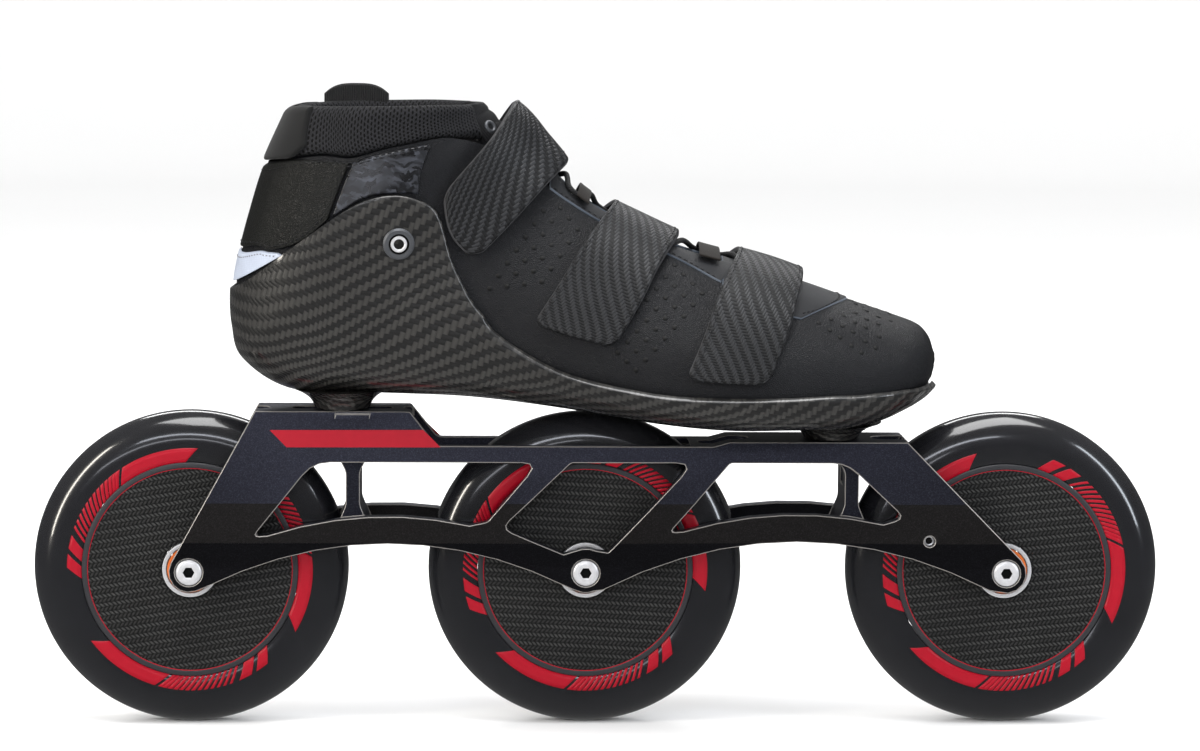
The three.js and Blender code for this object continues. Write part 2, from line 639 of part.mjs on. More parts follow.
// The skate the numbers in LOFT were drawn for; every other size moves them from there.
const LOFT_LENGTH = 277.8;
const LOFT_BALL_WIDTH = 95;
const LOFT_HEEL_X = -143.8;
const LOFT_FRONT_DECK_Z = 114.6;
const LOFT_HEEL_LIFT = 11.6;
const TOE_BLEND = 2;                  // stations over which an offset also pushes the toe forward

/** Smooth curve through evenly spaced numbers, at t between 0 and their last index. */
function through(values, t) {
  const last = values.length - 1;
  const i = Math.min(Math.floor(Math.max(t, 0)), last - 1);
  const f = t - i;
  const b = values[i];
  const c = values[i + 1];
  const a = i > 0 ? values[i - 1] : 2 * b - c;
  const d = i + 2 <= last ? values[i + 2] : 2 * c - b;
  const slope = (c - a) / 2;
  const next = (d - b) / 2;
  return b + f * (slope + f * (3 * (c - b) - 2 * slope - next + f * (2 * (b - c) + slope + next)));
}

/** A point of the side view moved to the boot's own length and place over the decks. */
function placed([x, z]) {
  const along = LOFT_HEEL_X + (x - LOFT_HEEL_X) * (BOOT_LENGTH / LOFT_LENGTH);
  const towardsHeel = (FRONT_MOUNT_X - x) / MOUNT_SPACING;
  const lift = FRONT_DECK_Z - LOFT_FRONT_DECK_Z + (HEEL_LIFT - LOFT_HEEL_LIFT) * towardsHeel;
  return [along, z + lift];
}

const RIDGE = LOFT.map((s) => placed(s.ridge));
const BASE = LOFT.map((s) => placed(s.base));
const WIDTH_SCALE = BALL_WIDTH / LOFT_BALL_WIDTH;

/** The cut across the boot at a station number, whole or between two stations. */
function cutAt(u) {
  const read = (pick) => through(LOFT.map(pick), u);
  return {
    ridge: new THREE.Vector2(through(RIDGE.map((p) => p[0]), u), through(RIDGE.map((p) => p[1]), u)),
    base: new THREE.Vector2(through(BASE.map((p) => p[0]), u), through(BASE.map((p) => p[1]), u)),
    outer: read((s) => s.half[0]) * WIDTH_SCALE,
    inner: read((s) => s.half[1]) * WIDTH_SCALE,
    shift: read((s) => s.shift),
    widest: read((s) => s.widest),
    crown: read((s) => s.round[0]),
    flat: read((s) => s.round[1]),
  };
}

/**
 * A point on the boot. u is the station and angle goes round the cut in degrees: 0 at the
 * ridge, negative down the outer side, positive down the inner side, 180 at the base.
 * offset is the distance outward from the leather.
 */
function onBoot(u, angle, offset) {
  const cut = cutAt(u);
  const theta = THREE.MathUtils.degToRad(angle);
  const sine = Math.sin(theta);
  const cosine = Math.cos(theta);
  const chord = cut.base.clone().sub(cut.ridge);
  const along = chord.clone().normalize();
  const round = cosine >= 0 ? cut.crown : cut.flat;
  const reach = cosine >= 0 ? cut.widest : 1 - cut.widest;
  const depth = cut.widest - Math.sign(cosine) * reach * Math.abs(cosine) ** (2 / round);
  const half = (sine < 0 ? cut.outer : cut.inner) + offset;
  const length = chord.length() + 2 * offset;
  const start = cut.ridge.clone().addScaledVector(along, -offset);
  const point = start.addScaledVector(along, depth * length);
  const forward = offset * Math.max(0, 1 - u / TOE_BLEND);
  const y = cut.shift + Math.sign(sine) * half * Math.abs(sine) ** (2 / round);
  return new THREE.Vector3(point.x + forward, y, point.y);
}

/** Station and angle of a point given in side view, on the outer side of the foot. */
function locate(spot) {
  const [x, z] = placed(spot);
  const target = new THREE.Vector2(x, z);
  const sideOf = (u) => {
    const { ridge, base } = cutAt(u);
    return base.clone().sub(ridge).cross(target.clone().sub(ridge));
  };
  let low = 0;
  let high = LAST_STATION;
  for (let i = 0; i < 40; i += 1) {
    const middle = (low + high) / 2;
    if (sideOf(middle) < 0) low = middle;
    else high = middle;
  }
  const cut = cutAt(low);
  const chord = cut.base.clone().sub(cut.ridge);
  const depth = target.sub(cut.ridge).dot(chord) / chord.lengthSq();
  const above = depth < cut.widest;
  const share = above ? 1 - depth / cut.widest : (depth - cut.widest) / (1 - cut.widest);
  const cosine = THREE.MathUtils.clamp(share, 0, 1) ** ((above ? cut.crown : cut.flat) / 2);
  const angle = THREE.MathUtils.radToDeg(Math.acos(above ? cosine : -cosine));
  return { u: low, angle };
}

/** A curve on the boot through side-view points; spots may also be given as { u, angle }. */
function line(spots) {
  const places = spots.map((spot) => (Array.isArray(spot) ? locate(spot) : spot));
  return (t) => ({
    u: through(places.map((p) => p.u), t * (places.length - 1)),
    angle: through(places.map((p) => p.angle), t * (places.length - 1)),
  });
}

/** A place part way between two or three curves on the boot. */
function between(curves, t, share) {
  const places = curves.map((curve) => curve(t));
  return {
    u: through(places.map((p) => p.u), share * (places.length - 1)),
    angle: through(places.map((p) => p.angle), share * (places.length - 1)),
  };
}

/**
 * A closed layer over part of the boot. place(i, j) gives station and angle for a grid of
 * columns and rows, and inner and outer are the offsets of its two faces, or functions of
 * the place.
 */
function layer(columns, rows, place, inner, outer) {
  const positions = [];
  const offsetAt = (offset, spot) => (typeof offset === 'function' ? offset(spot) : offset);
  for (const offset of [outer, inner]) {
    for (let i = 0; i <= columns; i += 1) {
      for (let j = 0; j <= rows; j += 1) {
        const spot = place(i / columns, j / rows);
        positions.push(...onBoot(spot.u, spot.angle, offsetAt(offset, spot)).toArray());
      }
    }
  }
  const index = [];
  const sheet = (columns + 1) * (rows + 1);
  const at = (face, i, j) => face * sheet + i * (rows + 1) + j;
  const quad = (a, b, c, d) => index.push(a, b, c, a, c, d);
  for (let i = 0; i < columns; i += 1) {
    for (let j = 0; j < rows; j += 1) {
      quad(at(0, i, j), at(0, i + 1, j), at(0, i + 1, j + 1), at(0, i, j + 1));
      quad(at(1, i, j + 1), at(1, i + 1, j + 1), at(1, i + 1, j), at(1, i, j));
    }
    quad(at(1, i, 0), at(1, i + 1, 0), at(0, i + 1, 0), at(0, i, 0));
    quad(at(0, i, rows), at(0, i + 1, rows), at(1, i + 1, rows), at(1, i, rows));
  }
  for (let j = 0; j < rows; j += 1) {
    quad(at(0, 0, j), at(0, 0, j + 1), at(1, 0, j + 1), at(1, 0, j));
    quad(at(1, columns, j), at(1, columns, j + 1), at(0, columns, j + 1), at(0, columns, j));
  }
  const geometry = new THREE.BufferGeometry();
  geometry.setAttribute('position', new THREE.Float32BufferAttribute(positions, 3));
  geometry.setIndex(index);
  return geometry;
}

/** Mirrors a place on the outer side to the inner side when share is above one half. */
function bothSides(share, placeAt) {
  const spot = placeAt(Math.abs(2 * share - 1));
  return { u: spot.u, angle: share < 0.5 ? spot.angle : 360 - spot.angle };
}

// ---------------------------------------------------------------- boot pieces

const CARBON = { color: 0x202124, roughness: 0.25 };
const LEATHER = { color: 0x151517, roughness: 0.6 };
const FABRIC = { color: 0x0c0c0e, roughness: 0.9 };

// Edge of the carbon shell from the toe, along the sole and over the ankle cuff to the heel.
const SHELL_EDGE = [
  { at: [132.6, 138.6], base: 0 },
  { at: [119, 137.6], base: 2 },
  { at: [96, 136.5], base: 4 },
  { at: [72, 136.1], base: 5.1 },
  { at: [46, 136.2], base: 6.1 },
  { at: [18, 138], base: 7.1 },
  { at: [-9, 143.5], base: 8 },
  { at: [-31, 153.5], base: 8.9 },
  { at: [-46, 167], base: 9.7 },
  { at: [-55.6, 181.6], base: 10.4 },
  { at: [-61.5, 198], base: 11.1 },
  { at: [-67, 208.5], base: 11.8 },
  { at: [-78, 212.8], base: 12.4 },
  { at: [-92, 211], base: 12.9 },
  { at: [-104, 204.1], base: 13.4 },
  { at: [-116, 194.2], base: 13.8 },
  { at: [-124, 187.4], base: 14 },
];

/** Station and angle on the carbon shell; along runs toe to heel and across from side to side. */
function onShell(along, across) {
  const edge = line(SHELL_EDGE.map((row) => row.at))(along);
  const base = { u: through(SHELL_EDGE.map((row) => row.base), along * (SHELL_EDGE.length - 1)), angle: 180 };
  const spot = (share) => ({
    u: base.u + (edge.u - base.u) * share,
    angle: base.angle + (edge.angle - base.angle) * share,
  });
  return bothSides(across, spot);
}

/** An elliptical foot under the sole that stands on a deck. */
function pedestalSolid(x, deckZ) {
  const bottom = deckZ + GAP;
  const height = 10;
  const top = 1 + PEDESTAL_SPREAD / PEDESTAL_HALF_LENGTH;
  const geometry = new THREE.CylinderGeometry(top, 1, height, 20);
  geometry.rotateX(Math.PI / 2);
  geometry.scale(PEDESTAL_HALF_LENGTH, PEDESTAL_HALF_WIDTH, 1);
  return solid(geometry.translate(x, 0, bottom + height / 2));
}

const SHELL_COLUMNS = 26;
const HEEL_COLUMNS = 14;              // faces from side to side round the heel
const SHELL_INNER = SHELL_ROOM;
const SHELL_OUTER = SHELL_ROOM + SHELL_THICKNESS;

/** Height of the sole's underside, inside the shell, over a mount. */
function soleZ(x) {
  let lowest = Infinity;
  for (let u = 2; u < 12; u += 0.05) {
    const point = onBoot(u, 180, SHELL_INNER);
    if (Math.abs(point.x - x) < INSERT_LENGTH / 2 + 1) lowest = Math.min(lowest, point.z);
  }
  return lowest;
}

/** A box centred on a mount. */
function boxAt(x, length, width, z0, z1) {
  return new THREE.BoxGeometry(length, width, z1 - z0).translate(x, 0, (z0 + z1) / 2);
}

const ANKLE_SPOT = [-79.1, 194.2];
const ankle = locate(ANKLE_SPOT);

/** Place and outward direction of the ankle insert on one side, -1 outer and 1 inner. */
function anklePlace(sign) {
  const angle = sign < 0 ? -ankle.angle : ankle.angle;
  const point = onBoot(ankle.u, angle, SHELL_OUTER);
  const along = onBoot(ankle.u + 0.05, angle, SHELL_OUTER).sub(point);
  const across = onBoot(ankle.u, angle + 1, SHELL_OUTER).sub(point);
  const normal = along.cross(across).normalize();
  if (normal.y * sign < 0) normal.negate();
  return { point, normal };
}

/** Turns a geometry made along Y to stand on the shell at the ankle. */
function standOnAnkle(geometry, sign) {
  const { point, normal } = anklePlace(sign);
  const turn = new THREE.Quaternion().setFromUnitVectors(new THREE.Vector3(0, 1, 0), normal);
  return geometry.applyQuaternion(turn).translate(point.x, point.y, point.z);
}

/** The carbon shell: sole, heel cup and ankle cuffs in one moulding, with its two feet. */
function shellSolid() {
  const skin = layer(SHELL_COLUMNS, HEEL_COLUMNS, (i, j) => signed(onShell(i, j)), SHELL_INNER, SHELL_OUTER);
  const inside = layer(12, 8, (i, j) => ({ u: 1 + 11 * i, angle: 120 + 120 * j }), -8, SHELL_INNER);
  let shell = solid(skin);
  const cavity = solid(inside);
  for (const { x, deckZ } of MOUNTS) {
    shell = shell.add(pedestalSolid(x, deckZ).subtract(cavity));
    const plateTop = soleZ(x);
    const pocketFloor = plateTop - INSERT_HEIGHT - GAP;
    const pocket = boxAt(x, INSERT_LENGTH + 2 * GAP, INSERT_WIDTH + 2 * GAP, pocketFloor, plateTop + 2);
    shell = shell.subtract(solid(pocket));
    shell = shell.subtract(solid(upright(BOLT_DIAMETER / 2 + BOLT_FIT, x, deckZ - 1, plateTop)));
  }
  for (const sign of [-1, 1]) {
    const radius = ANKLE_SLEEVE_DIAMETER / 2 + GAP;
    const drill = new THREE.CylinderGeometry(radius, radius, 4 * SHELL_THICKNESS, 16);
    shell = shell.subtract(solid(standOnAnkle(drill, sign)));
  }
  return shell;
}

add('carbon_shell', surface(shellSolid()), CARBON);

for (const { name, x, deckZ } of MOUNTS) {
  const plateTop = soleZ(x);
  const plate = solid(boxAt(x, INSERT_LENGTH, INSERT_WIDTH, plateTop - INSERT_HEIGHT, plateTop))
    .subtract(solid(upright(BOLT_DIAMETER / 2 + BOLT_FIT, x, deckZ, plateTop + 1)));
  add(`threaded_insert_${name}`, surface(plate), STEEL);
  const under = deckZ - DECK_THICKNESS - GAP;
  const bolt = solid(upright(BOLT_HEAD_DIAMETER / 2, x, under - BOLT_HEAD_HEIGHT, under))
    .add(solid(upright(BOLT_DIAMETER / 2, x, under - 1, plateTop - GAP)))
    .subtract(solid(upright(BOLT_SOCKET_ACROSS_FLATS / Math.sqrt(3), x, under - BOLT_HEAD_HEIGHT - 1,
      under - BOLT_HEAD_HEIGHT / 2, 6)));
  add(`mount_bolt_${name}`, surface(bolt), STEEL);
}

for (const [side, sign] of [['outer', -1], ['inner', 1]]) {
  const outline = [
    [ANKLE_HOLE_DIAMETER / 2, GAP - SHELL_THICKNESS],
    [ANKLE_SLEEVE_DIAMETER / 2, GAP - SHELL_THICKNESS],
    [ANKLE_SLEEVE_DIAMETER / 2, GAP + 0.1],
    [ANKLE_RING_DIAMETER / 2, GAP + 0.1],
    [ANKLE_RING_DIAMETER / 2, ANKLE_RING_HEIGHT],
    [ANKLE_HOLE_DIAMETER / 2, ANKLE_RING_HEIGHT],
  ];
  add(`ankle_insert_${side}`, standOnAnkle(turned(outline, 16), sign), STEEL);
}

// The toe end of the upper goes all the way round; the rest is open along the throat.
const THROAT_STATION = 4.6;
const THROAT_OVERLAP = 0.1;           // stations over which the two parts of the upper run together
const THROAT_ANGLE = 27;

/** A closed sock over the toe, open at its rear end. */
function toeSolid() {
  const columns = 7;
  const sides = 20;
  const positions = [];
  const index = [];
  for (const offset of [0, -UPPER_THICKNESS]) {
    for (let i = 0; i <= columns; i += 1) {
      for (let j = 0; j < sides; j += 1) {
        const angle = (360 * (j + 0.5)) / sides - 180;
        positions.push(...onBoot((THROAT_STATION * i) / columns, angle, offset).toArray());
      }
    }
  }
  const sheet = (columns + 1) * sides;
  const at = (face, i, j) => face * sheet + i * sides + (j % sides);
  const quad = (a, b, c, d) => index.push(a, b, c, a, c, d);
  for (let j = 0; j < sides; j += 1) {
    for (let i = 0; i < columns; i += 1) {
      quad(at(0, i, j), at(0, i, j + 1), at(0, i + 1, j + 1), at(0, i + 1, j));
      quad(at(1, i, j), at(1, i + 1, j), at(1, i + 1, j + 1), at(1, i, j + 1));
    }
    quad(at(0, columns, j), at(0, columns, j + 1), at(1, columns, j + 1), at(1, columns, j));
  }
  for (let j = 1; j < sides - 1; j += 1) {
    index.push(at(0, 0, 0), at(0, 0, j + 1), at(0, 0, j));
    index.push(at(1, 0, 0), at(1, 0, j), at(1, 0, j + 1));
  }
  const geometry = new THREE.BufferGeometry();
  geometry.setAttribute('position', new THREE.Float32BufferAttribute(positions, 3));
  geometry.setIndex(index);
  return geometry;
}

const COLLAR_FRONT_ANGLE = 41;
const COLLAR_SEAM = [
  { u: 13.6, angle: COLLAR_FRONT_ANGLE },
  [-61, 235],
  [-80, 231.5],
  [-96.5, 227.2],
  [-112, 227.4],
  { u: 17.02, angle: 180 },
];
const COLLAR_TOP = [
  { u: 17.9, angle: COLLAR_FRONT_ANGLE },
  [-62, 247.6],
  [-80, 248],
  [-97, 247.8],
  [-110, 247.2],
  { u: LAST_STATION, angle: 180 },
];

/** The side and heel of the upper, a sheet round the foot that is open along the throat. */
function upperPlace(along, across) {
  const start = THROAT_STATION - THROAT_OVERLAP;
  const seam = line(COLLAR_SEAM);
  const spot = (share) => {
    const top = seam(1 - share);
    const edge = THROAT_ANGLE + (180 - THROAT_ANGLE) * (1 - share);
    const blend = along ** 3;
    const angle = edge + (top.angle - edge) * blend;
    const reach = top.u - 0.12 * (1 - share);
    return { u: start + (reach - start) * along, angle };
  };
  return bothSides(across, spot);
}

/** Turns an angle above 180 degrees into one on the other side. */
function signed({ u, angle }) {
  return { u, angle: angle > 180 ? angle - 360 : angle };
}

const sides = layer(22, 14, (i, j) => signed(upperPlace(i, j)), -UPPER_THICKNESS, 0);
add('leather_upper', surface(solid(toeSolid()).add(solid(sides))), LEATHER);

/** A padded ring round the ankle, open at the front, with a taller tab on the inner side. */
function collarPlace(round, height) {
  const seam = line(COLLAR_SEAM);
  const top = line(COLLAR_TOP);
  const spot = (share) => between([seam, top], 1 - share, 0.06 + 0.94 * height);
  return signed(bothSides(round, spot));
}

const TAB_HEIGHT = 6.5;
const TAB_LENGTH = 26;
const TAB_X = -97;

/** The collar with its pull tab. */
function collarSolid() {
  const ringBody = solid(layer(18, 3, collarPlace, -COLLAR_INSIDE, COLLAR_OUTSIDE));
  const [x, z] = placed([TAB_X, 247]);
  const y = onBoot(LAST_STATION, 90, 0).y;
  const tab = new THREE.BoxGeometry(TAB_LENGTH, PANEL_THICKNESS * 2, TAB_HEIGHT + 4);
  return ringBody.add(solid(tab.translate(x, y - 4 * PANEL_THICKNESS, z + TAB_HEIGHT / 2 - 2)));
}

add('collar', surface(collarSolid()), FABRIC);

/** A panel on both sides and round the heel, between two curves that end at the back. */
function heelPanel(lower, upper, columns, inner, outer) {
  const low = line(lower);
  const high = line(upper);
  const place = (round, height) => {
    const spot = (share) => between([low, high], 1 - share, height);
    return signed(bothSides(round, spot));
  };
  return layer(columns, 3, place, inner, outer);
}

const PANEL_INNER = SKIN_ROOM;
const PANEL_OUTER = SKIN_ROOM + PANEL_THICKNESS;
const PATCH_GAP = 0.18;               // stations between the patch and the shell's rear edge
const shellRim = locate(SHELL_EDGE.at(-1).at);
const shellBack = SHELL_EDGE.at(-1).base;

add('heel_patch', heelPanel(
  [{ u: shellRim.u + PATCH_GAP, angle: shellRim.angle }, { u: shellBack + PATCH_GAP, angle: 180 }],
  [[-125.4, 190.2], [-129, 190.3], [-134.2, 190.3], { u: 15.2, angle: 180 }],
  HEEL_COLUMNS, PANEL_INNER, PANEL_OUTER), { color: 0xb9c0cc, roughness: 0.5 });

add('heel_quarter', heelPanel(
  [[-106, 203.5], [-116, 195.2], [-127.3, 191.4], [-134.2, 192.4], { u: 15.3, angle: 180 }],
  [[-97.6, 225.6], [-107, 226], [-116, 226.2], [-124, 225.4], { u: 16.95, angle: 180 }],
  14, PANEL_INNER, PANEL_OUTER), LEATHER);

add('heel_pad', heelPanel(
  [[-114, 231.5], [-120, 227], [-126, 226], { u: 17.05, angle: 180 }],
  [[-112, 246.6], [-114, 246.8], [-117, 247], { u: 17.95, angle: 180 }],
  12, COLLAR_OUTSIDE + GAP, COLLAR_OUTSIDE + GAP + HEEL_PAD_THICKNESS), FABRIC);

// Glossy panel between the heel quarter and the strap leather, one on each side.
const cuffLow = line([[-104.6, 204.6], [-92, 212], [-78, 213.8], [-71.6, 213.4]]);
const cuffHigh = line([[-96.4, 225.6], [-88, 228.4], [-76, 231], [-66.8, 232.6]]);
for (const [side, sign] of [['outer', -1], ['inner', 1]]) {
  const place = (i, j) => {
    const spot = between([cuffLow, cuffHigh], i, j);
    return { u: spot.u, angle: spot.angle * sign };
  };
  add(`cuff_panel_${side}`, layer(6, 4, place, PANEL_INNER, PANEL_OUTER), CARBON);
}

// Tongue and insole
const TONGUE_HALF_ANGLE = 32;
const TONGUE_OUTER = -UPPER_THICKNESS - INNER_ROOM;
const TONGUE_START = 4.1;
const tonguePlace = (i, j) => ({
  u: TONGUE_START + (LAST_STATION - 0.1 - TONGUE_START) * i,
  angle: TONGUE_HALF_ANGLE * (2 * j - 1),
});
add('tongue', layer(20, 6, tonguePlace, TONGUE_OUTER - TONGUE_THICKNESS, TONGUE_OUTER), FABRIC);

const INSOLE_OUTER = -UPPER_THICKNESS - INNER_ROOM;
const insolePlace = (i, j) => signed({ u: 1.6 + 9.1 * i, angle: 120 + 120 * j });
add('insole', layer(14, 6, insolePlace, INSOLE_OUTER - INSOLE_THICKNESS, INSOLE_OUTER), FABRIC);

const LACE_STEPS = 64;

/** The lace: across the tongue from eyelet to eyelet, in one length. */
function laceGeometry() {
  const eyeletAngle = 34;
  const crossings = 10;
  const first = 5.4;
  const pitch = 0.78;
  const run = 0.34;
  const lift = LACE_LIFT + LACE_DIAMETER / 2;
  const points = [];
  for (let k = 0; k < crossings; k += 1) {
    const side = k % 2 === 0 ? -1 : 1;
    const u = first + pitch * k;
    points.push(onBoot(u, side * eyeletAngle, lift));
    points.push(onBoot(u + run, side * eyeletAngle, lift));
    points.push(onBoot(u + (run + pitch) / 2, 0, lift));
  }
  points.pop();
  const path = new THREE.CatmullRomCurve3(points);
  const radius = LACE_DIAMETER / 2;
  const section = [];
  for (let k = 0; k < 6; k += 1) {
    const angle = (k * Math.PI) / 3;
    section.push(new THREE.Vector2(radius * Math.cos(angle), radius * Math.sin(angle)));
  }
  return new THREE.ExtrudeGeometry(new THREE.Shape(section), { steps: LACE_STEPS, extrudePath: path });
}

add('lace', laceGeometry(), FABRIC);

// Straps: each has a root over the instep to the inner side and a tail down the outer side.
// front and rear are the tail's two edges from the ridge to its tip, in side view.
const STRAPS = [
  {
    name: 'ankle',
    lift: 5.5,
    rear: [-39.5, [-47, 232], [-62.5, 212.5]],
    front: [-16, [-27.8, 209.1], [-49.5, 187.5]],
  },
  {
    name: 'instep',
    lift: 3.9,
    rear: [4.5, [-12.1, 185.8], [-26.7, 163.9]],
    front: [31, [19, 178], [4.5, 155.3]],
  },
  {
    name: 'ball',
    lift: 3.9,
    rear: [54.5, [42.5, 166.8], [32.4, 143.7]],
    front: [80.5, [75, 166], [64.1, 141.5]],
  },
];
const HINGE_ANGLE = 0.25;

/** Station on the ridge at a length along the boot. */
function ridgeStation(x) {
  const target = placed([x, 0])[0];
  let low = 0;
  let high = LAST_STATION;
  for (let i = 0; i < 40; i += 1) {
    const middle = (low + high) / 2;
    if (cutAt(middle).ridge.x > target) low = middle;
    else high = middle;
  }
  return low;
}

/** Clearance between a strap and the leather: high over the lace, low down the side. */
function strapLift(strap, angle) {
  const fade = THREE.MathUtils.smoothstep(Math.abs(angle), 36, 78);
  return strap.lift + (STRAP_SIDE_LIFT - strap.lift) * fade;
}

for (const strap of STRAPS) {
  const edges = [strap.rear, strap.front].map(([x, ...spots]) => line([
    { u: ridgeStation(x), angle: HINGE_ANGLE },
    ...spots,
  ]));
  for (const [end, sign] of [['tail', -1], ['root', 1]]) {
    const place = (i, j) => {
      const spot = between(edges, j, i);
      return { u: spot.u, angle: spot.angle * sign };
    };
    const inner = (spot) => strapLift(strap, spot.angle);
    const outer = (spot) => strapLift(strap, spot.angle) + STRAP_THICKNESS;
    add(`strap_${strap.name}_${end}`, layer(4, 10, place, inner, outer), CARBON);
  }
}

export default root;
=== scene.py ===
"""The finished look of an inline speed skate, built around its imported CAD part.

Everything is in metres in the row frame: +X points to the toe, +Y to the inner side of the
foot and +Z up. Sizes that a maker would read off a drawing are written in millimetres.
"""

import logging
import math
from dataclasses import dataclass, field
from enum import Enum
from typing import Any, Callable, Optional, Sequence

import bmesh
import bpy
import numpy as np
from mathutils import Matrix, Vector


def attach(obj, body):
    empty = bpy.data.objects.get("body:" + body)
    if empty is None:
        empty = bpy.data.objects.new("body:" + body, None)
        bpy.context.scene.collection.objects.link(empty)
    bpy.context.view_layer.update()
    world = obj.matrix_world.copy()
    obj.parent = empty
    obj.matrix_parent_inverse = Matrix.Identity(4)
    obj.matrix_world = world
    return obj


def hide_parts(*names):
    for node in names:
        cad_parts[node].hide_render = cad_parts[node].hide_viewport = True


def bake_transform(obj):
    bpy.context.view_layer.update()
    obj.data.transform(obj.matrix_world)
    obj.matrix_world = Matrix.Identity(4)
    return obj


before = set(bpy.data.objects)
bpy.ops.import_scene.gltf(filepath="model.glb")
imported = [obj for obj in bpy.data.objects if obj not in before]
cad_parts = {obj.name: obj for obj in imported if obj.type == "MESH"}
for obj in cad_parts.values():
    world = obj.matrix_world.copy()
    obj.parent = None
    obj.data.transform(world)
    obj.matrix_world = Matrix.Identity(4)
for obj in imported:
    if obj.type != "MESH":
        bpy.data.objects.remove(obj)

LOG = logging.getLogger("skate")
MM = 0.001
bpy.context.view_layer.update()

Array = np.ndarray
Colour = tuple[float, float, float]
Pair = tuple[float, float]
Outline = Sequence[Pair]
Spots = tuple[Array, Array]
Line = Callable[[Array], Spots]
Place = Callable[[Array, Array], Spots]
Piece = bpy.types.Object


class Side(Enum):
    """A side of the foot. The outer side is towards -Y."""

    OUTER = -1
    INNER = 1

    @property
    def label(self) -> str:
        """The word for this side in a piece's name."""
        return self.name.lower()


class Chart(Enum):
    """How a boot layer lays out its weave: along its own length, or along the whole boot."""

    OWN = "own"
    BOOT = "boot"


# ---------------------------------------------------------------- nodes


class NodeGraph:
    """Adds nodes to one tree with few words."""

    def __init__(self, tree: bpy.types.NodeTree) -> None:
        """Keeps the tree.

        Args:
            tree: the shader or geometry tree to add to.
        """
        self.tree = tree

    def feed(self, socket: Any, value: Any) -> None:
        """Links a socket into another, or sets its value."""
        if isinstance(value, bpy.types.NodeSocket):
            self.tree.links.new(value, socket)
        else:
            socket.default_value = value

    def add(self, kind: str, inputs: Optional[dict] = None, **settings: Any) -> Any:
        """Adds one node.

        Args:
            kind: the node's type name.
            inputs: values or sockets by input name or number.
            settings: the node's own properties.

        Returns:
            The node.
        """
        node = self.tree.nodes.new(kind)
        for key, value in settings.items():
            setattr(node, key, value)
        for key, value in (inputs or {}).items():
            self.feed(node.inputs[key], value)
        return node

    def shape(self, kind: str, inputs: Optional[dict] = None, **settings: Any) -> Any:
        """Adds one geometry node, whose type is named without its prefix."""
        return self.add("GeometryNode" + kind, inputs, **settings)

    def math(self, operation: str, *values: Any, clamp: bool = False) -> Any:
        """One math node.

        Args:
            operation: the node's operation.
            values: its inputs, numbers or sockets.
            clamp: keeps the result between 0 and 1.

        Returns:
            Its output socket.
        """
        node = self.add("ShaderNodeMath", operation=operation, use_clamp=clamp)
        for socket, value in zip(node.inputs, values):
            self.feed(socket, value)
        return node.outputs[0]

    def times(self, *values: Any, clamp: bool = False) -> Any:
        """The product of two values, as a socket."""
        return self.math("MULTIPLY", *values, clamp=clamp)

    def times_plus(self, *values: Any, clamp: bool = False) -> Any:
        """The product of two values plus a third one, as a socket."""
        return self.math("MULTIPLY_ADD", *values, clamp=clamp)

    def blend(self, share: Any, low: Any, high: Any) -> Any:
        """Mixes two colours and returns the output socket."""
        node = self.add("ShaderNodeMix", data_type="RGBA")
        self.feed(node.inputs[0], share)
        self.feed(node.inputs[6], (*low, 1.0) if isinstance(low, tuple) else low)
        self.feed(node.inputs[7], (*high, 1.0) if isinstance(high, tuple) else high)
        return node.outputs[2]

    def noise(self, vector: Any, scale: float, detail: float = 3.0, rough: float = 0.5) -> Any:
        """Noise between 0 and 1 at a vector, and returns the output socket."""
        node = self.add(
            "ShaderNodeTexNoise",
            {"Vector": vector, "Scale": scale, "Detail": detail, "Roughness": rough},
        )
        return node.outputs["Fac"]

    def bump(self, height: Any, depth_mm: float, strength: float = 1.0, normal: Any = None) -> Any:
        """A bump of a real depth, and returns the normal socket."""
        inputs = {"Strength": strength, "Distance": depth_mm * MM, "Height": height}
        if normal is not None:
            inputs["Normal"] = normal
        return self.add("ShaderNodeBump", inputs).outputs[0]

    def object_point(self, turn: tuple[float, float, float] = (0, 0, 0), scale: float = 1000.0) -> Any:
        """Object coordinates in millimetres, turned by degrees, as a vector socket."""
        where = self.add("ShaderNodeTexCoord").outputs["Object"]
        mapping = self.add("ShaderNodeMapping", {"Vector": where, "Scale": (scale, scale, scale)})
        mapping.inputs["Rotation"].default_value = [math.radians(t) for t in turn]
        return mapping.outputs[0]

    def chart_point(self) -> Any:
        """The piece's own chart in millimetres, as a vector socket."""
        return self.add("ShaderNodeUVMap", uv_map="chart").outputs[0]

    def split(self, vector: Any) -> tuple[Any, Any, Any]:
        """The three numbers of a vector, as sockets."""
        out = self.add("ShaderNodeSeparateXYZ", {0: vector}).outputs
        return out[0], out[1], out[2]

    def join(self, x: Any, y: Any, z: Any = 0.0) -> Any:
        """A vector socket from three numbers."""
        return self.add("ShaderNodeCombineXYZ", {0: x, 1: y, 2: z}).outputs[0]


class Look:
    """The inputs of a shader, by name."""

    def __init__(self, graph: NodeGraph, shader: Any) -> None:
        """Keeps the graph and the shader's inputs."""
        self.graph, self.inputs = graph, shader.inputs

    def __setitem__(self, name: str, value: Any) -> None:
        """Sets an input to a value, or links a socket to it."""
        self.graph.feed(self.inputs[name], value)


# ---------------------------------------------------------------- finishes


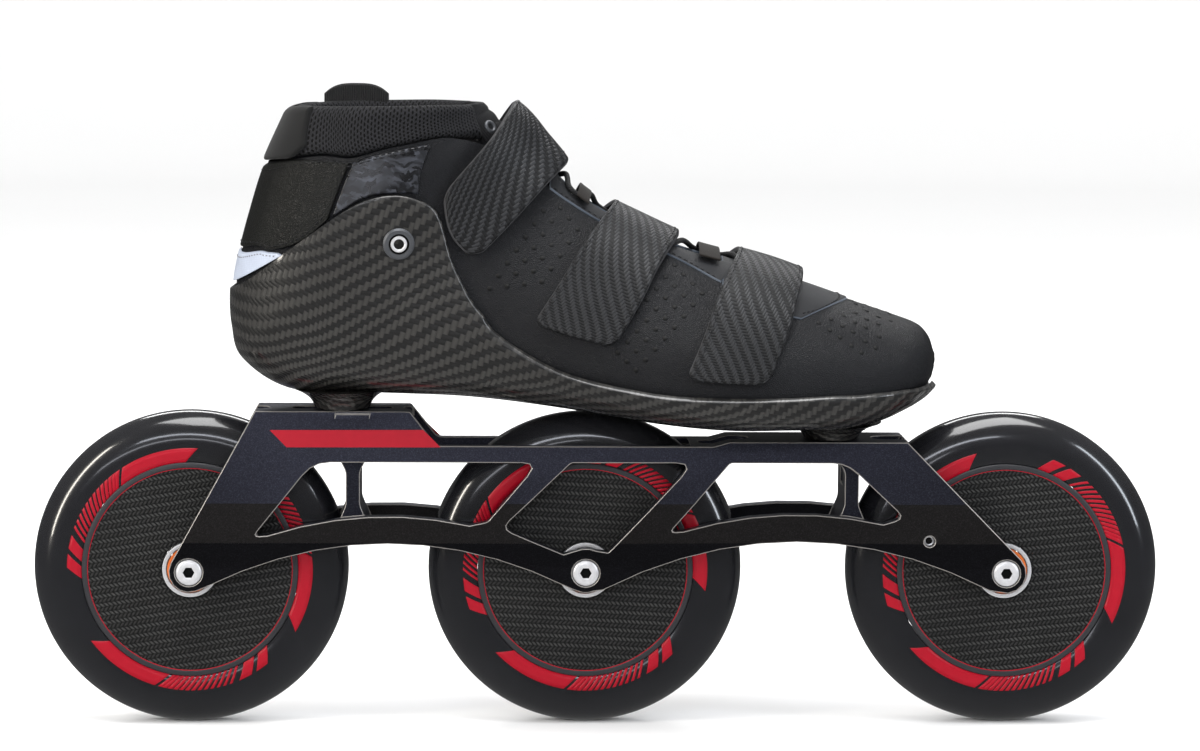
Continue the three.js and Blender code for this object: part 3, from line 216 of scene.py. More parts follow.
@dataclass(frozen=True)
class Finish:
    """One finish of the skate, made into a material once."""

    name: str
    slot: str

    def material(self) -> bpy.types.Material:
        """The material of this finish, made at its first use."""
        found = bpy.data.materials.get(self.name)
        if found is not None:
            return found
        material = bpy.data.materials.new(self.name)
        material.use_nodes = True
        graph = NodeGraph(material.node_tree)
        graph.tree.nodes.clear()
        shader = graph.add("ShaderNodeBsdfPrincipled")
        graph.add("ShaderNodeOutputMaterial", {"Surface": shader.outputs[0]})
        self.paint(graph, Look(graph, shader))
        return material

    def paint(self, graph: NodeGraph, shader: Look) -> None:
        """Sets the shader up. Every finish has its own."""
        raise NotImplementedError

    def shade(self, factor: float) -> Colour:
        """The finish's own colour, darker or lighter by a factor."""
        return tuple(c * factor for c in self.colour)


@dataclass(frozen=True)
class WovenCarbon(Finish):
    """Twill cloth of flat tows, under resin or as a textile."""

    tow: float = 2.0
    dark: Colour = (0.006, 0.006, 0.007)
    light: Colour = (0.05, 0.052, 0.056)
    turn: float = 0.0
    gloss: float = 0.3
    coat: float = 1.0
    relief: float = 0.12
    drift: float = 0.0
    coat_rough: float = 0.06
    specular: float = 0.5

    def paint(self, graph: NodeGraph, shader: Look) -> None:
        """Tows over two and under two, each with its own fibres and its own sheen."""
        along, up, _ = graph.split(graph.chart_point())
        angle = math.radians(self.turn)
        first = graph.times_plus(up, -math.sin(angle), graph.times(along, math.cos(angle)))
        second = graph.times_plus(up, math.cos(angle), graph.times(along, math.sin(angle)))
        if self.drift > 0:
            sway = graph.noise(graph.join(first, second), 0.02, 2.0)
            first = graph.times_plus(sway, self.drift, first)
            sway = graph.noise(graph.join(second, first, 7.0), 0.024, 2.0)
            second = graph.times_plus(sway, self.drift, second)
        u = graph.math("DIVIDE", first, self.tow)
        v = graph.math("DIVIDE", second, self.tow)
        column = graph.math("FLOOR", u)
        row = graph.math("FLOOR", v)
        phase = graph.math("FLOORED_MODULO", graph.math("ADD", column, row), 4.0)
        over = graph.math("LESS_THAN", phase, 1.5)
        round_u = graph.math("SINE", graph.times(graph.math("FRACT", u), math.pi))
        round_v = graph.math("SINE", graph.times(graph.math("FRACT", v), math.pi))
        warp = graph.math("POWER", round_u, 0.6)
        weft = graph.math("POWER", round_v, 0.6)
        height = graph.times(warp, over)
        under = graph.math("SUBTRACT", 1.0, over)
        height = graph.times_plus(weft, under, height)
        along_warp = graph.noise(graph.join(graph.times(u, 9.0), graph.times(v, 0.4)), 1.0)
        along_weft = graph.noise(graph.join(graph.times(u, 0.4), graph.times(v, 9.0)), 1.0)
        fibre = graph.times(along_warp, over)
        fibre = graph.times_plus(along_weft, under, fibre)
        # The slow cloud varies the tone at random and also brightens patches as painted highlight.
        cloud = graph.noise(graph.object_point(scale=1.0), 18.0, 2.0)
        share = graph.times_plus(over, 0.72, graph.times(fibre, 0.28))
        share = graph.times(share, graph.times_plus(cloud, 0.9, 0.5), clamp=True)
        share = graph.times(share, graph.times_plus(height, 0.5, 0.5))
        shader["Base Color"] = graph.blend(share, self.dark, self.light)
        rough = graph.times_plus(over, -0.12, self.gloss + 0.12)
        rough = graph.times_plus(fibre, 0.12, rough)
        shader["Roughness"] = rough
        relief = graph.times_plus(fibre, 0.18, height)
        shader["Normal"] = graph.bump(relief, self.relief)
        shader["Specular IOR Level"] = self.specular
        shader["Coat Weight"] = self.coat
        shader["Coat Roughness"] = self.coat_rough


@dataclass(frozen=True)
class HerringboneWeave(Finish):
    """Rows of short slanted tows that lean the other way in each next row."""

    turn: float = 0.0
    row: float = 1.8
    dash: float = 1.7

    def paint(self, graph: NodeGraph, shader: Look) -> None:
        """Tows between dark gaps, with a groove between the rows."""
        x, _, z = graph.split(graph.object_point((0, self.turn, 0)))
        v = graph.math("DIVIDE", z, self.row)
        rise = graph.math("FRACT", v)
        odd = graph.math("FLOORED_MODULO", graph.math("FLOOR", v), 2.0)
        lean = graph.times(rise, graph.times_plus(odd, 2.0, -1.0))
        place = graph.times_plus(lean, 0.85, graph.math("DIVIDE", x, self.dash))
        tow = graph.math("SINE", graph.times(graph.math("FRACT", place), math.pi))
        arch = graph.math("SINE", graph.times(rise, math.pi))
        body = graph.times(graph.math("POWER", tow, 1.6), graph.math("POWER", arch, 0.7))
        fibre = graph.noise(graph.object_point(), 3.0, 3.0)
        cloud = graph.noise(graph.object_point(), 0.05, 2.0)
        share = graph.times(body, graph.times_plus(odd, 0.45, 0.4))
        share = graph.times(share, graph.times_plus(fibre, 0.8, 0.6), clamp=True)
        share = graph.times(share, graph.times_plus(cloud, 0.8, 0.6), clamp=True)
        shader["Base Color"] = graph.blend(share, (0.0018, 0.0018, 0.0018), (0.052, 0.052, 0.05))
        shader["Roughness"] = graph.times_plus(share, -0.15, 0.55)
        shader["Normal"] = graph.bump(body, 0.2)
        shader["Specular IOR Level"] = 0.3


@dataclass(frozen=True)
class MarbledCarbon(Finish):
    """Glossy panel of chopped carbon flakes that lie every way."""

    def paint(self, graph: NodeGraph, shader: Look) -> None:
        """Flakes from stretched cells, each with its own shade."""
        point = graph.object_point()
        sway = graph.add("ShaderNodeTexNoise", {"Vector": point, "Scale": 0.12, "Detail": 3.0})
        reach = {0: sway.outputs["Color"], 1: (14.0, 14.0, 14.0)}
        bent = graph.add("ShaderNodeVectorMath", reach, operation="MULTIPLY")
        place = graph.add("ShaderNodeVectorMath", {0: point, 1: bent.outputs[0]}, operation="ADD")
        stretch = graph.add("ShaderNodeMapping", {"Vector": place.outputs[0], "Scale": (0.35, 0.3, 0.9)})
        stretch.inputs["Rotation"].default_value = (0.3, 0.5, 0.2)
        cells = graph.add("ShaderNodeTexVoronoi", {"Vector": stretch.outputs[0], "Scale": 0.8})
        shade, _, _ = graph.split(cells.outputs["Color"])
        lump = graph.noise(point, 0.25, 4.0)
        share = graph.times(graph.math("POWER", shade, 2.2), graph.times(lump, 1.6), clamp=True)
        shader["Base Color"] = graph.blend(share, (0.004, 0.004, 0.005), (0.045, 0.05, 0.065))
        shader["Roughness"] = graph.times_plus(shade, 0.25, 0.22)
        shader["Normal"] = graph.bump(shade, 0.05, 0.5)
        shader["Coat Weight"] = 0.5
        shader["Coat Roughness"] = 0.25


@dataclass(frozen=True)
class Leather(Finish):
    """Pebbled leather, finer or coarser."""

    colour: Colour = (0.0068, 0.007, 0.0082)
    grain: float = 0.75
    depth: float = 0.12
    rough: float = 0.46

    def paint(self, graph: NodeGraph, shader: Look) -> None:
        """Pebbles of two sizes with creases between them."""
        point = graph.object_point()
        cells = graph.add(
            "ShaderNodeTexVoronoi",
            {"Vector": point, "Scale": 1.0 / self.grain, "Randomness": 1.0},
            feature="DISTANCE_TO_EDGE",
        )
        pebble = graph.math("MINIMUM", graph.times(cells.outputs["Distance"], 3.2), 1.0)
        fine = graph.noise(point, 3.5 / self.grain, 3.0)
        height = graph.times_plus(fine, 0.35, pebble)
        wide = graph.noise(point, 0.06, 3.0)
        tint = graph.times_plus(wide, 0.5, graph.times(pebble, 0.4), clamp=True)
        shader["Base Color"] = graph.blend(tint, self.colour, self.shade(1.7))
        rough = graph.times_plus(wide, 0.16, self.rough - 0.08)
        rough = graph.times_plus(pebble, -0.08, rough)
        shader["Roughness"] = rough
        shader["Normal"] = graph.bump(height, self.depth)
        shader["Specular IOR Level"] = 0.24


@dataclass(frozen=True)
class AirMesh(Finish):
    """Knitted spacer mesh with staggered rows of oval holes."""

    colour: Colour = (0.006, 0.006, 0.007)
    pitch: float = 1.9
    depth: float = 0.7

    def paint(self, graph: NodeGraph, shader: Look) -> None:
        """Oval holes painted near-black as the shade inside them, between soft ribs."""
        first, second, _ = graph.split(graph.chart_point())
        v = graph.math("DIVIDE", second, self.pitch * 0.8)
        odd = graph.math("FLOORED_MODULO", graph.math("FLOOR", v), 2.0)
        u = graph.times_plus(odd, 0.5, graph.math("DIVIDE", first, self.pitch))
        du = graph.math("SUBTRACT", graph.math("FRACT", u), 0.5)
        dv = graph.math("SUBTRACT", graph.math("FRACT", v), 0.5)
        du = graph.times(du, 0.82)
        span = graph.math("SQRT", graph.math("ADD", graph.times(du, du), graph.times(dv, dv)))
        limits = {0: span, 1: 0.2, 2: 0.36, 3: 0.0, 4: 1.0}
        wall = graph.add("ShaderNodeMapRange", limits, interpolation_type="SMOOTHSTEP")
        yarn = graph.noise(graph.object_point(), 5.0, 3.0)
        share = graph.times(wall.outputs[0], graph.times_plus(yarn, 0.6, 0.6), clamp=True)
        # The holes get a near-black colour: painted shade.
        shader["Base Color"] = graph.blend(share, (0.0008, 0.0008, 0.001), self.shade(2.6))
        height = graph.times_plus(yarn, 0.15, wall.outputs[0])
        shader["Normal"] = graph.bump(height, self.depth)
        shader["Roughness"] = 0.85
        shader["Specular IOR Level"] = 0.25
        shader["Sheen Weight"] = 0.03
        shader["Sheen Roughness"] = 0.4


@dataclass(frozen=True)
class Nap(Finish):
    """Suede, microfibre or felt: a fine nap with worn, lighter clouds."""

    colour: Colour = (0.005, 0.005, 0.005)
    nap: float = 0.25
    depth: float = 0.06
    sheen: float = 0.06
    rough: float = 0.9

    def paint(self, graph: NodeGraph, shader: Look) -> None:
        """A fine nap over slow clouds of lighter pile."""
        point = graph.object_point()
        fine = graph.noise(point, 1.0 / self.nap, 4.0, 0.7)
        cloud = graph.noise(point, 0.11, 3.0)
        share = graph.times_plus(fine, 0.5, graph.times(cloud, 0.5), clamp=True)
        shader["Base Color"] = graph.blend(share, self.colour, self.shade(2.2))
        shader["Roughness"] = graph.times_plus(fine, 0.12, self.rough - 0.06)
        shader["Normal"] = graph.bump(fine, self.depth)
        shader["Specular IOR Level"] = 0.25
        shader["Sheen Weight"] = self.sheen
        shader["Sheen Roughness"] = 0.5


@dataclass(frozen=True)
class Urethane(Finish):
    """Cast polyurethane of the tyres, glossy with a faint skin."""

    colour: Colour = (0.0068, 0.007, 0.0082)

    def paint(self, graph: NodeGraph, shader: Look) -> None:
        """Gloss with slow changes, and dust in the finest grain."""
        point = graph.object_point()
        cloud = graph.noise(point, 0.05, 3.0)
        dust = graph.noise(point, 2.5, 3.0)
        shader["Base Color"] = graph.blend(cloud, self.colour, self.shade(1.8))
        rough = graph.times_plus(cloud, 0.06, 0.13)
        shader["Roughness"] = graph.times_plus(dust, 0.05, rough)
        shader["Normal"] = graph.bump(cloud, 0.05, 0.25)
        shader["Coat Weight"] = 0.7
        shader["Coat Roughness"] = 0.05


@dataclass(frozen=True)
class Moulded(Finish):
    """Moulded plastic or rubber with a fine spark-eroded grain."""

    colour: Colour = (0.012, 0.012, 0.013)
    rough: float = 0.5
    grain: float = 0.35
    depth: float = 0.02

    def paint(self, graph: NodeGraph, shader: Look) -> None:
        """An even grain and slightly uneven gloss."""
        point = graph.object_point()
        fine = graph.noise(point, 1.0 / self.grain, 3.0)
        cloud = graph.noise(point, 0.09, 2.0)
        shader["Base Color"] = graph.blend(cloud, self.colour, self.shade(1.35))
        shader["Roughness"] = graph.times_plus(fine, 0.14, self.rough - 0.07)
        shader["Normal"] = graph.bump(fine, self.depth)


@dataclass(frozen=True)
class TurnedMetal(Finish):
    """Metal turned on a lathe: fine rings round the axis."""

    colour: Colour = (0.80, 0.80, 0.82)
    rough: float = 0.3
    ring: float = 0.22
    metal: float = 0.45

    def paint(self, graph: NodeGraph, shader: Look) -> None:
        """Rings along the profile, crossed by faint wear."""
        _, walk, _ = graph.split(graph.chart_point())
        wave = graph.math("SINE", graph.times(walk, 2 * math.pi / self.ring))
        wear = graph.noise(graph.object_point(), 0.6, 4.0)
        shader["Base Color"] = graph.blend(wear, self.shade(0.75), self.colour)
        shader["Roughness"] = graph.times_plus(wear, 0.16, self.rough - 0.06)
        shader["Normal"] = graph.bump(graph.times(wave, 0.5), 0.006, 0.6)
        shader["Metallic"] = self.metal


@dataclass(frozen=True)
class Anodised(Finish):
    """Blasted and anodised aluminium with a fine metallic flake."""

    colour: Colour = (0.032, 0.033, 0.046)
    flake: float = 0.28
    rough: float = 0.34

    def paint(self, graph: NodeGraph, shader: Look) -> None:
        """Flakes of slightly different shade and tilt."""
        point = graph.object_point()
        cells = graph.add("ShaderNodeTexVoronoi", {"Vector": point, "Scale": 1.0 / self.flake})
        shade, tilt, _ = graph.split(cells.outputs["Color"])
        cloud = graph.noise(point, 0.03, 3.0)
        share = graph.times(graph.math("POWER", shade, 3.0), 0.7)
        shader["Base Color"] = graph.blend(share, self.colour, self.shade(2.4))
        rough = graph.times_plus(cloud, 0.1, self.rough - 0.05)
        shader["Roughness"] = graph.times_plus(tilt, 0.08, rough)
        shader["Normal"] = graph.bump(tilt, 0.012, 0.5)
        shader["Metallic"] = 0.85


@dataclass(frozen=True)
class Brushed(Finish):
    """Bare machined metal with straight tool marks."""

    colour: Colour = (0.5, 0.49, 0.47)
    rough: float = 0.3

    def paint(self, graph: NodeGraph, shader: Look) -> None:
        """Long thin marks from one stretched noise."""
        point = graph.object_point()
        marks = graph.add("ShaderNodeMapping", {"Vector": point, "Scale": (0.5, 6.0, 6.0)})
        line = graph.noise(marks.outputs[0], 1.0, 3.0)
        shader["Base Color"] = graph.blend(line, self.shade(0.6), self.colour)
        shader["Roughness"] = graph.times_plus(line, 0.2, self.rough - 0.1)
        shader["Normal"] = graph.bump(line, 0.01, 0.5)
        shader["Metallic"] = 0.35


@dataclass(frozen=True)
class Ink(Finish):
    """Screen-printed ink, slightly thicker here and there."""

    colour: Colour = (0.34, 0.003, 0.014)
    rough: float = 0.4

    def paint(self, graph: NodeGraph, shader: Look) -> None:
        """Ink of slightly uneven thickness."""
        point = graph.object_point()
        cloud = graph.noise(point, 0.35, 3.0)
        fine = graph.noise(point, 4.0, 2.0)
        shader["Base Color"] = graph.blend(cloud, self.shade(0.82), self.colour)
        shader["Roughness"] = graph.times_plus(fine, 0.1, self.rough - 0.05)
        shader["Normal"] = graph.bump(fine, 0.01, 0.4)
        shader["Specular IOR Level"] = 0.22


@dataclass(frozen=True)
class Reflector(Finish):
    """Pale reflective film with tiny hexagonal prisms."""

    colour: Colour = (0.50, 0.55, 0.66)

    def paint(self, graph: NodeGraph, shader: Look) -> None:
        """Cells under a satin film, darker along the cell edges."""
        point = graph.object_point()
        comb = {"Vector": point, "Scale": 1.4, "Randomness": 0.15}
        cells = graph.add("ShaderNodeTexVoronoi", comb, feature="DISTANCE_TO_EDGE")
        ridge = graph.math("MINIMUM", graph.times(cells.outputs["Distance"], 5.0), 1.0)
        cloud = graph.noise(point, 0.15, 3.0)
        share = graph.times_plus(ridge, 0.5, graph.times(cloud, 0.5), clamp=True)
        shader["Base Color"] = graph.blend(share, self.shade(0.72), self.colour)
        shader["Roughness"] = graph.times_plus(cloud, 0.2, 0.35)
        shader["Normal"] = graph.bump(ridge, 0.03, 0.5)
        shader["Metallic"] = 0.15


@dataclass(frozen=True)
class Ribbed(Finish):
    """Woven webbing or tape with ribs across its length."""

    colour: Colour = (0.006, 0.006, 0.0065)
    pitch: float = 0.9
    depth: float = 0.2

    def paint(self, graph: NodeGraph, shader: Look) -> None:
        """Ribs along the chart with yarns across them."""
        first, second, _ = graph.split(graph.chart_point())
        rib = graph.math("SINE", graph.times(first, 2 * math.pi / self.pitch))
        yarn = graph.math("SINE", graph.times(second, 2 * math.pi / (self.pitch * 0.6)))
        height = graph.times_plus(yarn, 0.3, rib)
        fuzz = graph.noise(graph.object_point(), 3.0, 3.0)
        share = graph.times_plus(height, 0.25, graph.times(fuzz, 0.7), clamp=True)
        shader["Base Color"] = graph.blend(share, self.colour, self.shade(2.4))
        shader["Normal"] = graph.bump(height, self.depth)
        shader["Roughness"] = 0.88
        shader["Sheen Weight"] = 0.04


@dataclass(frozen=True)
class BraidedCord(Finish):
    """Round braided cord. It reads the cord's own length and turn."""

    colour: Colour = (0.005, 0.005, 0.0055)
    pitch: float = 1.1

    def paint(self, graph: NodeGraph, shader: Look) -> None:
        """Strands that cross in a braid round the cord."""
        along = graph.add("ShaderNodeAttribute", attribute_name="along").outputs["Fac"]
        around = graph.add("ShaderNodeAttribute", attribute_name="around").outputs["Fac"]
        steps = graph.times(along, 2 * math.pi / (self.pitch * MM))
        turns = graph.times(around, 4 * 2 * math.pi)
        left = graph.math("SINE", graph.math("ADD", steps, turns))
        right = graph.math("SINE", graph.math("SUBTRACT", steps, turns))
        height = graph.math("MAXIMUM", left, right)
        fuzz = graph.noise(graph.object_point(), 4.0, 3.0)
        share = graph.times_plus(height, 0.35, graph.times(fuzz, 0.5), clamp=True)
        shader["Base Color"] = graph.blend(share, self.colour, self.shade(2.6))
        shader["Normal"] = graph.bump(height, 0.15)
        shader["Roughness"] = 0.8
        shader["Sheen Weight"] = 0.04


@dataclass(frozen=True)
class Studio(Finish):
    """The pale matte floor that the skate stands on."""

    colour: Colour = (0.93, 0.93, 0.93)

    def paint(self, graph: NodeGraph, shader: Look) -> None:
        """Plain matte paint with a very faint mottle."""
        cloud = graph.noise(graph.object_point(scale=1.0), 3.0, 2.0)
        shader["Base Color"] = graph.blend(cloud, self.shade(0.985), self.colour)
        shader["Roughness"] = 0.85
        shader["Specular IOR Level"] = 0.15


SHELL_CARBON = WovenCarbon("shell_carbon", "carbon", tow=1.9, turn=-17.0, drift=11.0,
                           dark=(0.0035, 0.0035, 0.0035), light=(0.04, 0.038, 0.035))
STRAP_CARBON = WovenCarbon("strap_cloth", "strap", tow=1.2, turn=14.0, gloss=0.42, coat=0.12, coat_rough=0.4,
                           specular=0.34, dark=(0.0016, 0.0016, 0.002), light=(0.024, 0.025, 0.028), relief=0.2)
STRAP_EDGE = Nap("strap_cut_edge", "strap", colour=(0.03, 0.03, 0.032), sheen=0.0)
CUFF_CARBON = MarbledCarbon("cuff_marble", "carbon")
UPPER_LEATHER = Leather("upper_leather", "leather")
QUARTER_LEATHER = Leather("quarter_leather", "leather", colour=(0.0055, 0.0057, 0.0052), rough=0.42, grain=0.95)
EYESTAY_FIBRE = Nap("eyestay_microfibre", "leather", colour=(0.009, 0.0095, 0.011), nap=0.4, sheen=0.03, rough=0.6)
PIPING = Nap("eyestay_cut_edge", "leather", colour=(0.05, 0.06, 0.075), sheen=0.1, rough=0.6)
COLLAR_MESH = AirMesh("collar_mesh", "mesh_fabric")
LINING_MESH = AirMesh("lining_mesh", "mesh_fabric", pitch=1.4, depth=0.4)
HEEL_SUEDE = Nap("heel_suede", "suede", colour=(0.0045, 0.0045, 0.0045))
KEEPER_SUEDE = Nap("keeper_suede", "suede", colour=(0.008, 0.0065, 0.0055))
TAB_WEB = Ribbed("tab_webbing", "mesh_fabric")
LACE_CORD = BraidedCord("lace_cord", "mesh_fabric")
THREAD = Nap("stitch_thread", "mesh_fabric", colour=(0.008, 0.008, 0.009), nap=0.1, sheen=0.0, rough=0.55)
PALE_THREAD = Nap("pale_stitch_thread", "mesh_fabric", colour=(0.12, 0.12, 0.13), nap=0.1, sheen=0.1, rough=0.6)
PATCH_FILM = Reflector("patch_film", "patch")
TYRE_CAST = Urethane("tyre_cast", "tyre")
HUB_MOULD = Moulded("hub_mould", "hub", colour=(0.008, 0.008, 0.009), rough=0.36)
RING_SATIN = Moulded("ring_satin", "hub", colour=(0.022, 0.022, 0.025), rough=0.4)
SEAL_RUBBER = Moulded("seal_rubber", "seal", colour=(0.62, 0.13, 0.015), rough=0.55)
# Near-black painted shade for sockets, bores, grooves and perforations.
BORE_PAINTED_SHADE = Moulded("bore_dark", "hub", colour=(0.002, 0.002, 0.002), rough=0.7)
STEEL = TurnedMetal("turned_steel", "steel")
STEEL_PLATE = Brushed("plate_steel", "steel", colour=(0.42, 0.42, 0.43))
INSERT_METAL = TurnedMetal("insert_metal", "aluminium", colour=(0.10, 0.105, 0.115), rough=0.36)
SPACER_METAL = TurnedMetal("spacer_metal", "aluminium", colour=(0.5, 0.5, 0.52))
FRAME_ANODISED = Anodised("frame_anodised", "frame")
# Darker copies of the anodising on the upright band and the faces below it: painted shade.
FRAME_BAND_PAINTED_SHADE = Anodised("frame_band", "frame", colour=(0.02, 0.0185, 0.0185), rough=0.55)
FRAME_LOWER_PAINTED_SHADE = Anodised("frame_lower", "frame", colour=(0.0085, 0.0085, 0.0105), rough=0.5)
FRAME_EDGE = Brushed("frame_cut_edge", "frame", colour=(0.36, 0.34, 0.32))
FRAME_INK = Ink("frame_ink", "frame")
TYRE_INK = Ink("tyre_ink", "tyre", rough=0.3)
FLOOR_PAINT = Studio("studio_floor", "frame")


# ---------------------------------------------------------------- meshes


def placed(name: str, data: Any) -> Piece:
    """A new object in the scene."""
    piece = bpy.data.objects.new(name, data)
    bpy.context.scene.collection.objects.link(piece)
    return piece


def smooth(mesh: bpy.types.Mesh, crease: float) -> None:
    """Smooths a mesh up to an angle in degrees, above which its edges stay sharp."""
    mesh.polygons.foreach_set("use_smooth", [True] * len(mesh.polygons))
    mesh.set_sharp_from_angle(angle=math.radians(crease))


def turn_outward(mesh: bpy.types.Mesh, weld: bool = False) -> None:
    """Turns every face of a mesh outwards, and first joins points that coincide if asked."""
    work = bmesh.new()
    work.from_mesh(mesh)
    if weld:
        bmesh.ops.remove_doubles(work, verts=work.verts, dist=2e-6)
    bmesh.ops.recalc_face_normals(work, faces=work.faces)
    work.to_mesh(mesh)
    work.free()


def ring_faces(rings: int, count: int, closed: bool = False) -> list[tuple[int, ...]]:
    """Faces between rings of points, and from the last ring to the first if closed."""
    faces = []
    for i in range(rings if closed else rings - 1):
        after = (i + 1) % rings
        for j in range(count):
            k = (j + 1) % count
            faces.append((i * count + j, i * count + k, after * count + k, after * count + j))
    return faces


def piece_from(name: str, points: Array, faces: Sequence[Sequence[int]], finishes: Sequence[Finish],
               chart: Optional[Array] = None, marks: Optional[Array] = None, crease: float = 40.0,
               weld: bool = False) -> Piece:
    """Makes one closed piece.

    Args:
        name: the piece's name.
        points: its points in millimetres.
        faces: its faces as point numbers.
        finishes: its finishes, the first one by default.
        chart: a place in the weave for each point, in millimetres.
        marks: which finish each face has.
        crease: the angle in degrees above which an edge stays sharp.
        weld: joins points that coincide.

    Returns:
        The object, with its normals pointing outwards.
    """
    mesh = bpy.data.meshes.new(name)
    mesh.from_pydata((np.asarray(points) * MM).tolist(), [], [list(map(int, f)) for f in faces])
    if marks is not None:
        mesh.polygons.foreach_set("material_index", np.asarray(marks, dtype=np.int32))
    if chart is not None:
        layer = mesh.uv_layers.new(name="chart")
        corner = np.empty(len(mesh.loops), dtype=np.int32)
        mesh.loops.foreach_get("vertex_index", corner)
        layer.data.foreach_set("uv", np.asarray(chart, dtype=np.float32)[corner].ravel())
    turn_outward(mesh, weld)
    for finish in finishes:
        mesh.materials.append(finish.material())
    smooth(mesh, crease)
    return placed(name, mesh)


def settle(piece: Piece, finish: Finish, *nodes: str, body: str = "chassis") -> Piece:
    """Gives a finished piece its body and the CAD nodes that it stands for.

    Args:
        piece: the finished piece.
        finish: its main finish, not used.
        nodes: the CAD nodes that it replaces.
        body: the CAD body that it rides on.

    Returns:
        The same piece.
    """
    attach(piece, body)
    if nodes:
        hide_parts(*nodes)
    LOG.info("%s rides on %s, %d faces", piece.name, body, len(piece.data.polygons))
    return piece


def shares(length: float, steps: int, round_over: float) -> Array:
    """Shares along a length, close together where its ends are rounded."""
    near = np.array([0.0, 0.06, 0.2, 0.42, 0.7, 1.0]) * round_over / length
    near = near[near < 0.45]
    middle = np.linspace(near[-1], 1 - near[-1], steps + 1)
    return np.unique(np.concatenate([near, middle, 1 - near]))


def slab(top: Array, bottom: Array, skip: Optional[Array] = None) -> tuple[Array, list]:
    """A closed body between two grids of points.

    Args:
        top: the outer grid, rows by columns by three.
        bottom: the inner grid of the same shape.
        skip: rows whose two side edges meet, so that they get no wall.

    Returns:
        Its points and its faces.
    """
    rows, columns = top.shape[:2]
    points = np.concatenate([top.reshape(-1, 3), bottom.reshape(-1, 3)])
    under = rows * columns
    faces = []
    for i in range(rows - 1):
        for j in range(columns - 1):
            a, b = i * columns + j, (i + 1) * columns + j
            faces.append((a, b, b + 1, a + 1))
            faces.append((under + a, under + a + 1, under + b + 1, under + b))
        if skip is None or not skip[i]:
            for j in (0, columns - 1):
                a, b = i * columns + j, (i + 1) * columns + j
                faces.append((a, under + a, under + b, b))
    for i in (0, rows - 1):
        for j in range(columns - 1):
            a = i * columns + j
            faces.append((a, a + 1, under + a + 1, under + a))
    return points, faces


def round_profile(first: Array, second: Array, lengths: Pair, radius: float) -> Array:
    """How full a layer is near its edges, from 0 at an edge to 1 one radius inside it."""
    gaps = [np.minimum(first, 1 - first) * lengths[0], np.minimum(second, 1 - second) * lengths[1]]
    depth = [np.clip(g / radius, 0, 1) for g in gaps]
    full = [np.sqrt(1 - (1 - d) ** 2) for d in depth]
    return full[0] * full[1]


def lathe(name: str, profile: Outline, finishes: Sequence[Finish], centre: Sequence[float],
          axis: Sequence[float] = (0, 1, 0), segments: int = 96, marks: Optional[Sequence[int]] = None,
          crease: float = 35.0) -> Piece:
    """Turns a closed profile round an axis.

    Args:
        name: the piece's name.
        profile: radius and place along the axis of each corner, in millimetres.
        finishes: its finishes.
        centre: the point that the places are measured from.
        axis: the direction of the axis.
        segments: how many steps go round.
        marks: the finish number of each stretch of the profile.
        crease: the angle above which an edge stays sharp.

    Returns:
        The turned piece.
    """
    main = Vector(axis).normalized()
    side = main.orthogonal().normalized()
    other = main.cross(side)
    turn = np.linspace(0, 2 * math.pi, segments, endpoint=False)
    outline = np.asarray(profile, dtype=float)
    radial = np.cos(turn)[:, None] * np.array(side) + np.sin(turn)[:, None] * np.array(other)
    points = np.asarray(centre, dtype=float) + outline[None, :, 0, None] * radial[:, None, :]
    points = points + outline[None, :, 1, None] * np.array(main)
    count = len(outline)
    walk = np.concatenate([[0.0], np.cumsum(np.linalg.norm(np.diff(outline, axis=0), axis=1))])
    chart = np.stack(np.broadcast_arrays(turn[:, None] * 10.0, walk[None, :]), axis=-1)
    face_marks = list(marks or [0] * count) * segments
    return piece_from(name, points.reshape(-1, 3), ring_faces(segments, count, True), finishes, chart.reshape(-1, 2),
                      face_marks, crease, True)


def rounded(profile: Outline, radius: float, steps: int = 3) -> list[Pair]:
    """A closed profile with its corners rounded.

    Args:
        profile: its corners.
        radius: the rounding, which shrinks where a side is short.
        steps: how many steps each corner gets.

    Returns:
        The rounded profile.
    """
    corners = np.asarray(profile, dtype=float)
    count = len(corners)
    result = []
    for i in range(count):
        here, before, after = corners[i], corners[i - 1], corners[(i + 1) % count]
        to_before, to_after = before - here, after - here
        reach = min(radius, 0.45 * np.linalg.norm(to_before), 0.45 * np.linalg.norm(to_after))
        start = here + to_before / np.linalg.norm(to_before) * reach
        end = here + to_after / np.linalg.norm(to_after) * reach
        for t in np.linspace(0, 1, steps + 1):
            result.append(tuple((1 - t) ** 2 * start + 2 * t * (1 - t) * here + t ** 2 * end))
    return result


# ---------------------------------------------------------------- repeated shapes


